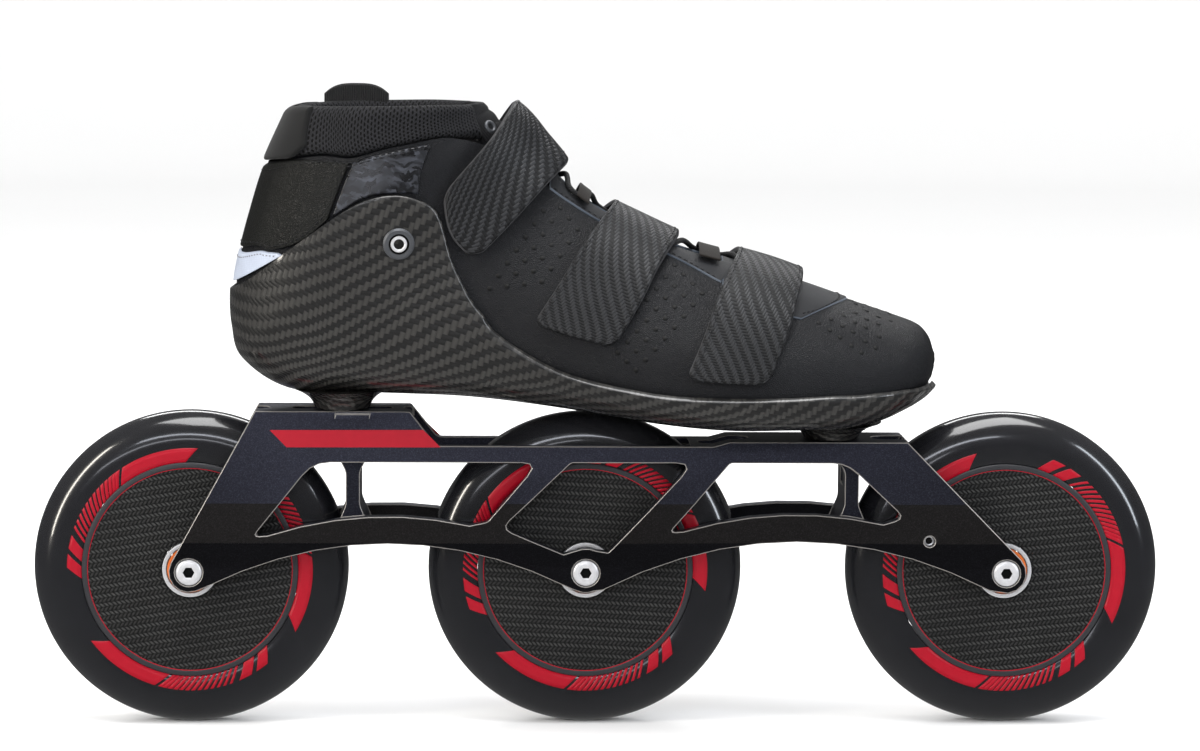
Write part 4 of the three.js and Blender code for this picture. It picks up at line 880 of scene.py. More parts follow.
class RepeatTree:
    """A geometry tree that ends in Realize Instances and Set Material."""

    def __init__(self, name: str, inputs: dict[str, tuple[str, Any]]) -> None:
        """Starts the tree.

        Args:
            name: the tree's name.
            inputs: each named input, with its socket type and its value.
        """
        self.tree = bpy.data.node_groups.new(name, "GeometryNodeTree")
        self.graph = NodeGraph(self.tree)
        face = self.tree.interface
        face.new_socket("Geometry", in_out="INPUT", socket_type="NodeSocketGeometry")
        face.new_socket("Geometry", in_out="OUTPUT", socket_type="NodeSocketGeometry")
        for key, (kind, value) in inputs.items():
            socket = face.new_socket(key, in_out="INPUT", socket_type=kind)
            if kind != "NodeSocketMaterial":
                socket.default_value = value
        self.values = {key: value for key, (_, value) in inputs.items()}
        self.source = self.graph.add("NodeGroupInput").outputs

    def close(self, geometry: Any) -> None:
        """Ends the tree with the realised geometry and its material."""
        real = self.graph.shape("RealizeInstances", {0: geometry}).outputs[0]
        painted = self.graph.shape("SetMaterial", {"Geometry": real, "Material": self.source["Material"]})
        shaded = self.graph.shape("SetShadeSmooth", {0: painted.outputs[0]}).outputs[0]
        self.graph.add("NodeGroupOutput", {0: shaded})

    def grow(self, name: str, seed: bpy.types.Mesh, finish: Finish, **values: Any) -> Piece:
        """Runs the tree on a mesh and keeps the result as a plain piece.

        Args:
            name: the new piece's name.
            seed: the mesh that the tree reads.
            finish: the finish of the result.
            values: values by input name, with an underscore for a space.

        Returns:
            The piece, without the modifier.
        """
        holder = placed(name + "_seed", seed)
        modifier = holder.modifiers.new("repeat", "NODES")
        modifier.node_group = self.tree
        settings = {**self.values, "Material": finish.material()}
        settings.update({key.replace("_", " "): value for key, value in values.items()})
        for item in self.tree.interface.items_tree:
            if item.item_type == "SOCKET" and item.in_out == "INPUT" and item.name in settings:
                modifier[item.identifier] = settings[item.name]
        holder.update_tag()
        graph = bpy.context.evaluated_depsgraph_get()
        mesh = bpy.data.meshes.new_from_object(holder.evaluated_get(graph), depsgraph=graph)
        mesh.name = name
        holder.modifiers.remove(modifier)
        bpy.data.objects.remove(holder)
        return placed(name, mesh)


def seed_mesh(name: str, points: Array, chains: Sequence[int] = (), **vectors: Array) -> bpy.types.Mesh:
    """A mesh of points and chains for a tree to read.

    Args:
        name: the mesh's name.
        points: its points in millimetres.
        chains: how many points each chain has, for points that are joined in order.
        vectors: a vector for each point, by attribute name.

    Returns:
        The mesh.
    """
    edges, start = [], 0
    for count in chains:
        edges += [(start + i, start + i + 1) for i in range(count - 1)]
        start += count
    mesh = bpy.data.meshes.new(name)
    mesh.from_pydata((np.asarray(points) * MM).tolist(), edges, [])
    for key, values in vectors.items():
        attribute = mesh.attributes.new(key, "FLOAT_VECTOR", "POINT")
        attribute.data.foreach_set("vector", np.asarray(values, dtype=np.float32).ravel())
    return mesh


def stitch_tree() -> RepeatTree:
    """The tree that sews a line of stitches along chains of points."""
    tree = RepeatTree("stitches", {
        "Pitch": ("NodeSocketFloat", 2.6 * MM),
        "Length": ("NodeSocketFloat", 1.7 * MM),
        "Thread": ("NodeSocketFloat", 0.27 * MM),
        "Material": ("NodeSocketMaterial", None),
    })
    graph, source = tree.graph, tree.source
    path = graph.shape("MeshToCurve", {0: source["Geometry"]}).outputs[0]
    points = graph.shape("CurveToPoints", {0: path, "Length": source["Pitch"]}, mode="LENGTH").outputs
    ball = graph.shape("MeshUVSphere", {"Segments": 6, "Rings": 5, "Radius": 1.0}).outputs[0]
    half = graph.times(source["Length"], 0.5)
    size = graph.join(source["Thread"], source["Thread"], half)
    turn = graph.add("FunctionNodeAlignRotationToVector", {"Vector": points["Tangent"]}, axis="Z").outputs[0]
    laid = graph.shape("InstanceOnPoints",
                     {"Points": points["Points"], "Instance": ball, "Rotation": turn, "Scale": size})
    tree.close(laid.outputs[0])
    return tree


def perforation_tree() -> RepeatTree:
    """The tree that sets a low dark eye on each point, square to its aim: a disc of painted shade that stands in for a
    hole.
    """
    tree = RepeatTree("perforations", {
        "Radius": ("NodeSocketFloat", 1.0 * MM),
        "Height": ("NodeSocketFloat", 0.16 * MM),
        "Material": ("NodeSocketMaterial", None),
    })
    graph, source = tree.graph, tree.source
    aim = graph.shape("InputNamedAttribute", {"Name": "aim"}, data_type="FLOAT_VECTOR").outputs[0]
    turn = graph.add("FunctionNodeAlignRotationToVector", {"Vector": aim}, axis="Z").outputs[0]
    eye = graph.shape("MeshCone", {"Vertices": 14, "Radius Top": graph.times(source["Radius"], 0.9),
                                             "Radius Bottom": source["Radius"], "Depth": source["Height"]})
    laid = graph.shape("InstanceOnPoints",
                     {"Points": source["Geometry"], "Instance": eye.outputs[0], "Rotation": turn})
    tree.close(laid.outputs[0])
    return tree


def cord_tree() -> RepeatTree:
    """The tree that sweeps a round cord and keeps its length and turn."""
    tree = RepeatTree("braided_cord", {
        "Radius": ("NodeSocketFloat", 1.1 * MM),
        "Material": ("NodeSocketMaterial", None),
    })
    graph, source = tree.graph, tree.source
    path = graph.shape("MeshToCurve", {0: source["Geometry"]}).outputs[0]
    length = graph.shape("SplineParameter").outputs["Length"]
    path = graph.shape("StoreNamedAttribute", {"Geometry": path, "Name": "along", "Value": length},
                     data_type="FLOAT", domain="POINT").outputs[0]
    ring = graph.shape("CurvePrimitiveCircle", {"Resolution": 12, "Radius": source["Radius"]}).outputs[0]
    share = graph.shape("SplineParameter").outputs["Factor"]
    ring = graph.shape("StoreNamedAttribute", {"Geometry": ring, "Name": "around", "Value": share},
                     data_type="FLOAT", domain="POINT").outputs[0]
    tube = graph.shape("CurveToMesh", {"Curve": path, "Profile Curve": ring, "Fill Caps": True})
    tree.close(tube.outputs[0])
    return tree


def wheel_band_tree() -> RepeatTree:
    """The tree that wraps slanted bars of ink round a wheel's side."""
    tree = RepeatTree("wheel_band", {
        "Bars": ("NodeSocketInt", 12),
        "Steps": ("NodeSocketInt", 2),
        "Start": ("NodeSocketFloat", 0.0),
        "Span": ("NodeSocketFloat", 38.0),
        "First Width": ("NodeSocketFloat", 2.3),
        "Last Width": ("NodeSocketFloat", 1.5),
        "Slant": ("NodeSocketFloat", -6.0),
        "Inner": ("NodeSocketFloat", 42.9 * MM),
        "Outer": ("NodeSocketFloat", 48.6 * MM),
        "Face": ("NodeSocketFloat", -11.4 * MM),
        "Slope": ("NodeSocketFloat", -0.0857),
        "Ink": ("NodeSocketFloat", 0.07 * MM),
        "Centre": ("NodeSocketVector", (0.0, 0.0, 0.0)),
        "Material": ("NodeSocketMaterial", None),
    })
    graph, source = tree.graph, tree.source
    row = graph.shape("MeshLine", {"Count": source["Bars"], "Offset": (0.0, 0.0, 0.0)}).outputs[0]
    number = graph.shape("InputIndex").outputs[0]
    last = graph.math("MAXIMUM", graph.math("SUBTRACT", source["Bars"], 1.0), 1.0)
    share = graph.math("DIVIDE", number, last)
    place = graph.times(graph.math("POWER", share, 1.12), source["Span"])
    row = graph.shape("SetPosition", {"Geometry": row, "Position": graph.join(place, 0.0)}).outputs[0]
    width = graph.times_plus(share, graph.math("SUBTRACT", source["Last Width"], source["First Width"]),
                       source["First Width"])
    box = graph.shape("MeshCube", {"Size": (1.0, 1.0, 1.0), "Vertices X": source["Steps"],
                                             "Vertices Y": 4, "Vertices Z": 2}).outputs[0]
    box = graph.shape("Transform", {"Geometry": box, "Translation": (0.5, 0.5, 0.5)}).outputs[0]
    laid = graph.shape("InstanceOnPoints",
                     {"Points": row, "Instance": box, "Scale": graph.join(width, 1.0, 1.0)}).outputs[0]
    laid = graph.shape("RealizeInstances", {0: laid}).outputs[0]
    s, t, h = graph.split(graph.shape("InputPosition").outputs[0])
    turn = graph.math("ADD", graph.times_plus(t, source["Slant"], s), source["Start"])
    turn = graph.math("RADIANS", turn)
    band = graph.math("SUBTRACT", source["Outer"], source["Inner"])
    radius = graph.times_plus(t, band, source["Inner"])
    x = graph.times(graph.math("COSINE", turn), radius)
    z = graph.times(graph.math("SINE", turn), radius)
    rise = graph.times(graph.times(t, band), source["Slope"])
    y = graph.math("ADD", graph.math("ADD", source["Face"], rise),
                   graph.times(h, graph.times(source["Ink"], graph.math("SIGN", source["Face"]))))
    spot = graph.add("ShaderNodeVectorMath", {0: graph.join(x, y, z), 1: source["Centre"]}, operation="ADD")
    wrapped = graph.shape("SetPosition", {"Geometry": laid, "Position": spot.outputs[0]}).outputs[0]
    tree.close(wrapped)
    return tree


# ---------------------------------------------------------------- boot form


def through(values: Array, t: Array) -> Array:
    """Smooth curve through evenly spaced numbers.

    Args:
        values: the numbers.
        t: places between 0 and the last number.

    Returns:
        The curve at each place.
    """
    values = np.asarray(values, dtype=float)
    last = len(values) - 1
    t = np.asarray(t, dtype=float)
    i = np.clip(np.floor(np.maximum(t, 0)).astype(int), 0, last - 1)
    f = t - i
    b, c = values[i], values[i + 1]
    a = np.where(i > 0, values[np.maximum(i - 1, 0)], 2 * b - c)
    d = np.where(i + 2 <= last, values[np.minimum(i + 2, last)], 2 * c - b)
    slope, after = (c - a) / 2, (d - b) / 2
    return b + f * (slope + f * (3 * (c - b) - 2 * slope - after + f * (2 * (b - c) + slope + after)))


@dataclass(frozen=True)
class Cut:
    """One cut across the boot, in millimetres."""

    ridge: Pair
    base: Pair
    half: Pair
    shift: float
    widest: float
    round: Pair

    def numbers(self) -> list[float]:
        """The cut as one row of numbers."""
        return [*self.ridge, *self.base, *self.half, self.shift, self.widest, *self.round]


@dataclass
class BootForm:
    """The boot's outer surface: u is the cut number from the toe and the angle goes round it."""

    cuts: tuple[Cut, ...] = (
        Cut((134, 149), (131.5, 137), (12, 15), 5, 0.5, (2, 2.2)),
        Cut((131.5, 156), (127.5, 133), (23, 25), 4.5, 0.55, (2, 2.4)),
        Cut((126.5, 160.5), (120, 128.8), (31, 31), 4, 0.6, (2, 2.8)),
        Cut((117, 164), (109, 124.9), (37, 37), 3, 0.65, (2, 3)),
        Cut((101, 169.5), (94, 122.6), (42, 42), 2, 0.68, (2, 3.2)),
        Cut((81, 176.5), (75, 122.6), (46, 46), 1, 0.7, (1.9, 3.2)),
        Cut((56, 184.5), (50, 122.6), (47.5, 47.5), 0, 0.7, (1.8, 3.2)),
        Cut((30, 192), (22, 125), (45, 46), 0, 0.7, (1.8, 3.1)),
        Cut((4, 204), (-14, 130.5), (40, 42), 0, 0.68, (1.8, 3)),
        Cut((-12, 215), (-50, 134.5), (36, 37.5), 0, 0.64, (1.9, 3)),
        Cut((-20.5, 224), (-88, 135.5), (34.5, 35), 0, 0.6, (2, 2.9)),
        Cut((-26.5, 230.5), (-120, 136.5), (35, 35), 0, 0.55, (2, 2.7)),
        Cut((-31, 236), (-139, 148), (36.5, 36.5), 0, 0.5, (2, 2.4)),
        Cut((-34.5, 240), (-143.3, 161), (37.5, 37.5), 0, 0.5, (2, 2.2)),
        Cut((-37.5, 243), (-143.8, 175.5), (38, 38), 0, 0.5, (2, 2.1)),
        Cut((-39.5, 245), (-142, 187), (37.5, 37.5), 0, 0.5, (2, 2.1)),
        Cut((-41, 246.3), (-137.2, 205), (36.5, 36.5), 0, 0.5, (2, 2.1)),
        Cut((-42, 247.2), (-131, 224), (35.5, 35.5), 0, 0.5, (2, 2.1)),
        Cut((-43, 248), (-120.5, 246.5), (35, 35), 0, 0.5, (2, 2.1)),
    )
    table: Array = field(init=False)

    def __post_init__(self) -> None:
        """Sets out the cuts as columns of numbers."""
        self.table = np.array([cut.numbers() for cut in self.cuts])

    def on(self, u: Any, angle: Any, offset: Any = 0.0) -> Array:
        """Points on the boot.

        Args:
            u: cut numbers.
            angle: degrees from the ridge, negative down the outer side.
            offset: distances outward, in millimetres.

        Returns:
            The points in millimetres, with three numbers in the last place.
        """
        u, angle, offset = np.broadcast_arrays(*(np.asarray(v, dtype=float) for v in (u, angle, offset)))
        rx, rz, bx, bz, outer, inner, shift, widest, crown, flat = (through(c, u) for c in self.table.T)
        sine, cosine = np.sin(np.radians(angle)), np.cos(np.radians(angle))
        dx, dz = bx - rx, bz - rz
        chord = np.hypot(dx, dz)
        dx, dz = dx / chord, dz / chord
        bend = np.where(cosine >= 0, crown, flat)
        reach = np.where(cosine >= 0, widest, 1 - widest)
        depth = widest - np.sign(cosine) * reach * np.abs(cosine) ** (2 / bend)
        half = np.where(sine < 0, outer, inner) + offset
        way = depth * (chord + 2 * offset) - offset
        x = rx + dx * way + offset * np.maximum(0, 1 - u / 2)
        y = shift + np.sign(sine) * half * np.abs(sine) ** (2 / bend)
        return np.stack([x, y, rz + dz * way], axis=-1)

    def locate(self, x: float, z: float) -> Pair:
        """Cut number and angle of a point given in side view."""
        low, high = 0.0, len(self.cuts) - 1.0
        for _ in range(40):
            middle = (low + high) / 2
            rx, rz, bx, bz = (float(through(c, middle)) for c in self.table.T[:4])
            if (bx - rx) * (z - rz) - (bz - rz) * (x - rx) < 0:
                low = middle
            else:
                high = middle
        row = [float(through(c, low)) for c in self.table.T]
        rx, rz, bx, bz, widest = *row[:4], row[7]
        dx, dz = bx - rx, bz - rz
        depth = ((x - rx) * dx + (z - rz) * dz) / (dx * dx + dz * dz)
        above = depth < widest
        share = 1 - depth / widest if above else (depth - widest) / (1 - widest)
        cosine = min(max(share, 0.0), 1.0) ** (row[8 if above else 9] / 2)
        return low, math.degrees(math.acos(cosine if above else -cosine))

    def line(self, *spots: Any) -> Line:
        """A curve on the boot.

        Args:
            spots: side-view points as tuples, or cut number and angle as lists.

        Returns:
            A function from shares to cut numbers and angles.
        """
        places = np.array([s if isinstance(s, list) else self.locate(*s) for s in spots], dtype=float)
        last = len(places) - 1
        return lambda t: (through(places[:, 0], np.asarray(t) * last), through(places[:, 1], np.asarray(t) * last))

    def normal(self, u: Array, angle: Array) -> Array:
        """Outward directions at places on the boot."""
        reach = self.on(u, angle, 1.0) - self.on(u, angle, 0.0)
        a = self.on(np.asarray(u) + 0.02, angle) - self.on(np.asarray(u) - 0.02, angle)
        b = self.on(u, np.asarray(angle) + 0.5) - self.on(u, np.asarray(angle) - 0.5)
        cross = np.cross(a, b)
        cross /= np.linalg.norm(cross, axis=-1, keepdims=True)
        return cross * np.sign(np.sum(cross * reach, axis=-1, keepdims=True))

    def weave(self, u: Array, angle: Array) -> Array:
        """Lengths along the boot and round its heel, and up its sides, for a weave that follows it."""
        x, y, z = np.moveaxis(self.on(u, angle), -1, 0)
        start, radius = -105.0, 38.0
        turn = np.arctan2(np.maximum(start - x, 0), np.abs(y) + 1e-6)
        along = np.where(x > start, x, start - radius * turn)
        return np.stack([along, -(z + 0.8 * np.abs(y))], axis=-1)


FORM = BootForm()


def both_sides(share: Array, place: Place) -> Spots:
    """Runs a place from the inner edge under the sole to the outer edge.

    Args:
        share: 0 at the inner edge and 1 at the outer edge.
        place: cut numbers and angles at shares, which are 1 at an edge and 0 under the sole.

    Returns:
        Cut numbers and signed angles.
    """
    u, angle = place(np.abs(2 * share - 1))
    return u, np.where(share >= 0.5, -angle, angle)


def between(low: tuple[Any, Any], high: tuple[Any, Any], share: Array) -> Spots:
    """Cut numbers and angles at a share of the way from one place to another."""
    return low[0] + (high[0] - low[0]) * share, low[1] + (high[1] - low[1]) * share


@dataclass
class Layer:
    """A closed layer on the boot with rounded edges."""

    place: Place
    low: float
    high: float
    steps: tuple[int, int] = (24, 16)
    edge: float = 0.6
    both: bool = False
    chart: Chart = Chart.OWN
    puff: Optional[Callable[[Array, Array], Array]] = None

    def build(self, name: str, finishes: Sequence[Finish], crease: float = 60.0) -> Piece:
        """Makes the piece.

        Args:
            name: the piece's name.
            finishes: the face's finish, and the edge's where it differs.
            crease: the angle above which an edge stays sharp.

        Returns:
            The layer as one closed mesh.
        """
        coarse = FORM.on(*self.place(*np.meshgrid(np.linspace(0, 1, 13), np.linspace(0, 1, 13), indexing="ij")))
        lengths = (
            float(np.linalg.norm(np.diff(coarse, axis=0), axis=2).sum(axis=0).mean()),
            float(np.linalg.norm(np.diff(coarse, axis=1), axis=2).sum(axis=1).mean()),
        )
        rows = shares(lengths[0], self.steps[0], self.edge)
        columns = shares(lengths[1], self.steps[1], self.edge)
        first, second = np.meshgrid(rows, columns, indexing="ij")
        u, angle = self.place(first, second)
        full = round_profile(first, second, lengths, self.edge)
        thick = self.high - self.low
        if self.both:
            top = (self.high + self.low) / 2 + thick / 2 * full
            bottom = (self.high + self.low) / 2 - thick / 2 * full
        else:
            top = self.low + thick * (0.3 + 0.7 * full)
            bottom = np.full_like(top, self.low)
        if self.puff is not None:
            top = top + self.puff(first, second) * full
        upper = FORM.on(u, angle, top)
        points, faces = slab(upper, FORM.on(u, angle, bottom))
        if self.chart is Chart.BOOT:
            chart = FORM.weave(u, angle)
        else:
            chart = np.stack([first * lengths[0], second * lengths[1]], axis=-1)
        chart = np.concatenate([chart.reshape(-1, 2)] * 2)
        marks = None
        if len(finishes) > 1:
            inside = (np.arange(len(points)) < upper.shape[0] * upper.shape[1])
            spread = full.ravel() > 0.85
            body = inside & np.concatenate([spread, spread])
            marks = [0 if all(body[v] for v in face) else 1 for face in faces]
        return piece_from(name, points, faces, finishes, chart, marks, crease, self.both)

    def fit(self, name: str, finish: Finish, *nodes: str, trim: Optional[Finish] = None) -> Piece:
        """Makes the piece and fixes it to the boot.

        Args:
            name: the piece's name.
            finish: its finish.
            nodes: the CAD nodes that it replaces.
            trim: the finish of its cut edge, where that differs.

        Returns:
            The settled piece.
        """
        return settle(self.build(name, [finish, trim] if trim else [finish]), finish, *nodes)


# ---------------------------------------------------------------- wheels


@dataclass
class Wheel:
    """One wheel with its bearings, its covers and its axle."""

    position: str
    axle_x: float
    weave_turn: float
    print_starts: tuple[float, float, float]
    axle_z: float = 62.5
    band_end: float = 50.0
    core_radius: float = 43.0
    half_width: float = 12.0
    band_tree: Optional[RepeatTree] = None

    @property
    def centre(self) -> tuple[float, float, float]:
        """The middle of the wheel in millimetres."""
        return self.axle_x, 0.0, self.axle_z

    @property
    def body(self) -> str:
        """The CAD body that turns."""
        return f"wheel_{self.position}"

    def tyre_profile(self) -> list[Pair]:
        """Radius and width round the tyre's section."""
        end = math.acos(4 / 24)
        outer = []
        for a in np.linspace(0, end, 15):
            outer.append((self.band_end + 12.5 * math.sin(a) / math.sin(end), self.half_width * math.cos(a)))
        side = [(self.core_radius, 10.6), (self.core_radius, 11.15), (self.core_radius + 0.35, 11.42)]
        right = side + [(46.5, 11.72)] + outer + [(62.5, 0.9)]
        return right + [(r, -w) for r, w in reversed(right)]

    def hub_profile(self) -> list[Pair]:
        """Radius and width round the hub's section."""
        half = [(11.4, 3.0), (11.4, 10.0), (15.9, 10.0), (15.9, 3.4), (37.7, 3.2), (37.7, 10.1), (42.2, 10.3)]
        return rounded(half + [(r, -w) for r, w in reversed(half)], 0.5, 2)

    def turned(self, name: str, profile: Outline, finish: Finish, *nodes: str, segments: int = 96,
               body: Optional[str] = None) -> Piece:
        """One turned piece about the axle, which turns with the wheel unless a body is named."""
        piece = lathe(name, profile, [finish], self.centre, segments=segments)
        return settle(piece, finish, *nodes, body=body or self.body)

    def build(self) -> None:
        """Makes every piece of the wheel."""
        p = self.position
        self.turned(f"tyre_cast_{p}", self.tyre_profile(), TYRE_CAST, f"tyre_{p}", segments=144)
        self.turned(f"hub_core_{p}", self.hub_profile(), HUB_MOULD, f"hub_{p}", segments=120)
        self.turned(f"spacer_sleeve_{p}", rounded([(4.0, -4.7), (5.6, -4.7), (5.6, 4.7), (4.0, 4.7)], 0.3),
                    SPACER_METAL, f"bearing_spacer_{p}", segments=48, body="chassis")
        for side in Side:
            self.build_side(side)
        self.build_axle()
        self.print_bands()

    def build_side(self, side: Side) -> None:
        """Makes the cover, the bearing and the printed edge of one side."""
        label = f"{self.position}_{side.label}"
        disc = HerringboneWeave(f"disc_weave_{label}", "disc", turn=self.weave_turn * -side.value)
        cover = rounded([(11.3, 10.6), (42.2, 10.6), (42.2, 11.35), (40.8, 11.7), (26, 11.55), (12.6, 11.7),
                         (11.3, 11.5)], 0.5, 3)
        ring = rounded([(40.4, 11.5), (42.75, 11.2), (42.85, 11.42), (42.5, 11.8), (40.9, 11.95)], 0.2, 2)
        line = [(40.35, 11.6), (40.62, 11.6), (40.62, 11.86), (40.35, 11.8)]
        race = rounded([(9.4, 5), (11, 5), (11, 12), (9.4, 12)], 0.25)
        cone = rounded([(4, 5), (6, 5), (6, 12), (4, 12)], 0.25)
        seal = rounded([(6.3, 10.95), (9.1, 10.95), (9.1, 11.75), (7.9, 11.6), (7.3, 11.6), (6.3, 11.75)], 0.2)
        for name, profile, finish, nodes, segments, body in (
            ("cover_disc", cover, disc, ["disc_cover"], 120, self.body),
            ("edge_ring", ring, RING_SATIN, [], 120, self.body),
            ("edge_line", line, TYRE_INK, [], 120, self.body),
            ("outer_race", race, STEEL, ["bearing_race"], 64, self.body),
            ("inner_race", cone, STEEL, ["bearing_cone"], 64, "chassis"),
            ("dust_seal", seal, SEAL_RUBBER, ["bearing_seal"], 64, self.body),
        ):
            sided = [(radius, side.value * place) for radius, place in profile]
            self.turned(f"{name}_{label}", sided, finish, *(f"{node}_{label}" for node in nodes),
                        segments=segments, body=body)

    def build_axle(self) -> None:
        """Makes the axle with its domed head and its six-sided socket."""
        socket, depth = 2.31, 2.4
        profile = [(0.01, -19.7 + depth), (socket, -19.7 + depth), (socket, -19.6), (socket + 0.25, -19.75),
                   (3.9, -19.68), (4.8, -19.3), (5.2, -18.7), (5.2, -16.3), (3.8, -16.3), (3.8, 17.3), (3.4, 17.7),
                   (0.01, 17.7)]
        # The socket's floor and wall get the near-black painted shade.
        marks = [1, 1] + [0] * (len(profile) - 2)
        piece = lathe(f"axle_bolt_{self.position}", profile, [STEEL, BORE_PAINTED_SHADE], self.centre, segments=48,
                      marks=marks)
        self.sink_socket(piece, socket, -19.7 + depth)
        settle(piece, STEEL, f"axle_{self.position}")

    def sink_socket(self, piece: Piece, radius: float, floor: float) -> None:
        """Turns the round socket into a six-sided one by moving its points."""
        for vertex in piece.data.vertices:
            x = vertex.co.x / MM - self.axle_x
            z = vertex.co.z / MM - self.axle_z
            reach = math.hypot(x, z)
            if abs(reach - radius) < 0.05 and vertex.co.y / MM < floor + 0.1:
                turn = math.atan2(z, x) % (math.pi / 3) - math.pi / 6
                scale = radius * math.cos(math.pi / 6) / math.cos(turn) / reach
                vertex.co.x = (self.axle_x + x * scale) * MM
                vertex.co.z = (self.axle_z + z * scale) * MM

    def print_bands(self) -> None:
        """Prints the three bands of each side: a block, a fading hatch and a plain end mark."""
        for side in Side:
            s = side.value
            face = {"Face": s * 11.42 * MM, "Slope": s * 0.075, "Centre": tuple(c * MM for c in self.centre)}
            for number, start in enumerate(self.print_starts):
                label = f"{self.position}_{side.label}_{number}"
                runs = (
                    ("block", {"Bars": 1, "Steps": 26, "Start": start, "First Width": 37.0}),
                    ("hatch", {"Bars": 13, "Steps": 2, "Start": start + 38.5, "Span": 34.0}),
                    ("mark", {"Bars": 2, "Steps": 8, "Start": start + 77.5, "Span": 9.0, "First Width": 6.5,
                              "Last Width": 6.5}),
                )
                for run, values in runs:
                    sizes = {**face, **values}
                    piece = self.band_tree.grow(f"print_{run}_{label}", seed_mesh("band_seed", np.zeros((1, 3))),
                                                TYRE_INK, **sizes)
                    turn_outward(piece.data)
                    settle(piece, TYRE_INK, body=self.body)


# ---------------------------------------------------------------- frame


@dataclass
class Frame:
    """The extruded frame with its cut edges, its printed bar and its grub screw."""

    edge_radius: float = 0.35
    bar: tuple[Pair, ...] = ((-130.1, 118.9), (-123.4, 112.2), (-62.7, 112.3), (-69.6, 119.1))
    grub: Pair = (131.0, 75.5)
    band_low: float = 70.0
    band_top: float = 90.5

    def build(self) -> None:
        """Makes the frame's pieces."""
        source = bpy.data.objects["frame"]
        mesh = source.data.copy()
        mesh.name = "frame_body"
        work = bmesh.new()
        work.from_mesh(mesh)
        bmesh.ops.remove_doubles(work, verts=work.verts, dist=5e-6)
        bmesh.ops.dissolve_limit(work, angle_limit=math.radians(1.5), verts=work.verts, edges=work.edges)
        bmesh.ops.dissolve_degenerate(work, dist=0.0002, edges=work.edges)
        work.to_mesh(mesh)
        work.free()
        mesh.materials.clear()
        for finish in (FRAME_ANODISED, FRAME_EDGE, FRAME_BAND_PAINTED_SHADE, FRAME_LOWER_PAINTED_SHADE):
            mesh.materials.append(finish.material())
        # Sideways faces below the band's top get the darker copies as painted shade: upright ones above band_low the
        # band copy, the rest the lower copy.
        for face in mesh.polygons:
            below = face.center.z < self.band_top * MM and abs(face.normal.y) > 0.5
            upright = abs(face.normal.y) > 0.9995 and face.center.z > self.band_low * MM
            face.material_index = (2 if upright else 3) if below else 0
        smooth(mesh, 28)
        piece = placed("frame_body", mesh)
        bevel = piece.modifiers.new("cut_edge", "BEVEL")
        bevel.width = self.edge_radius * MM
        bevel.segments = 2
        bevel.limit_method = "ANGLE"
        bevel.angle_limit = math.radians(32)
        bevel.material = 1
        bevel.use_clamp_overlap = False
        bevel.harden_normals = False
        settle(piece, FRAME_ANODISED, "frame")
        self.build_bar()
        self.build_grub()

    def side_y(self, z: float) -> float:
        """Half width of the frame's sloping side at a height."""
        return 15 + 5.7 * (126.2 - z) / 35.9

    def build_bar(self) -> None:
        """Prints a slanted bar on each sloping side."""
        low_left, low_right = self.bar[1], self.bar[2]
        high_left, high_right = self.bar[0], self.bar[3]
        for side in Side:
            grid = []
            for share in np.linspace(0, 1, 3):
                left = np.array(low_left) * (1 - share) + np.array(high_left) * share
                right = np.array(low_right) * (1 - share) + np.array(high_right) * share
                grid.append([left * (1 - t) + right * t for t in np.linspace(0, 1, 9)])
            flat = np.array(grid)
            half = self.side_y(flat[..., 1])
            top = np.stack([flat[..., 0], side.value * (half + 0.1), flat[..., 1]], axis=-1)
            bottom = np.stack([flat[..., 0], side.value * (half - 0.12), flat[..., 1]], axis=-1)
            points, faces = slab(top, bottom)
            settle(piece_from(f"printed_bar_{side.label}", points, faces, [FRAME_INK]), FRAME_INK)

    def build_grub(self) -> None:
        """Makes the grub screw of the front axle."""
        x, z = self.grub
        profile = [(0.01, -15.8), (1.1, -15.8), (1.1, -17.6), (1.9, -17.9), (2.1, -17.6), (2.1, -13.2), (0.01, -13.2)]
        # The socket's floor and wall get the near-black painted shade.
        piece = lathe("grub_screw", profile, [STEEL, BORE_PAINTED_SHADE], (x, 0, z), segments=24,
                      marks=[1, 1, 0, 0, 0, 0, 0])
        settle(piece, STEEL)


# ---------------------------------------------------------------- boot


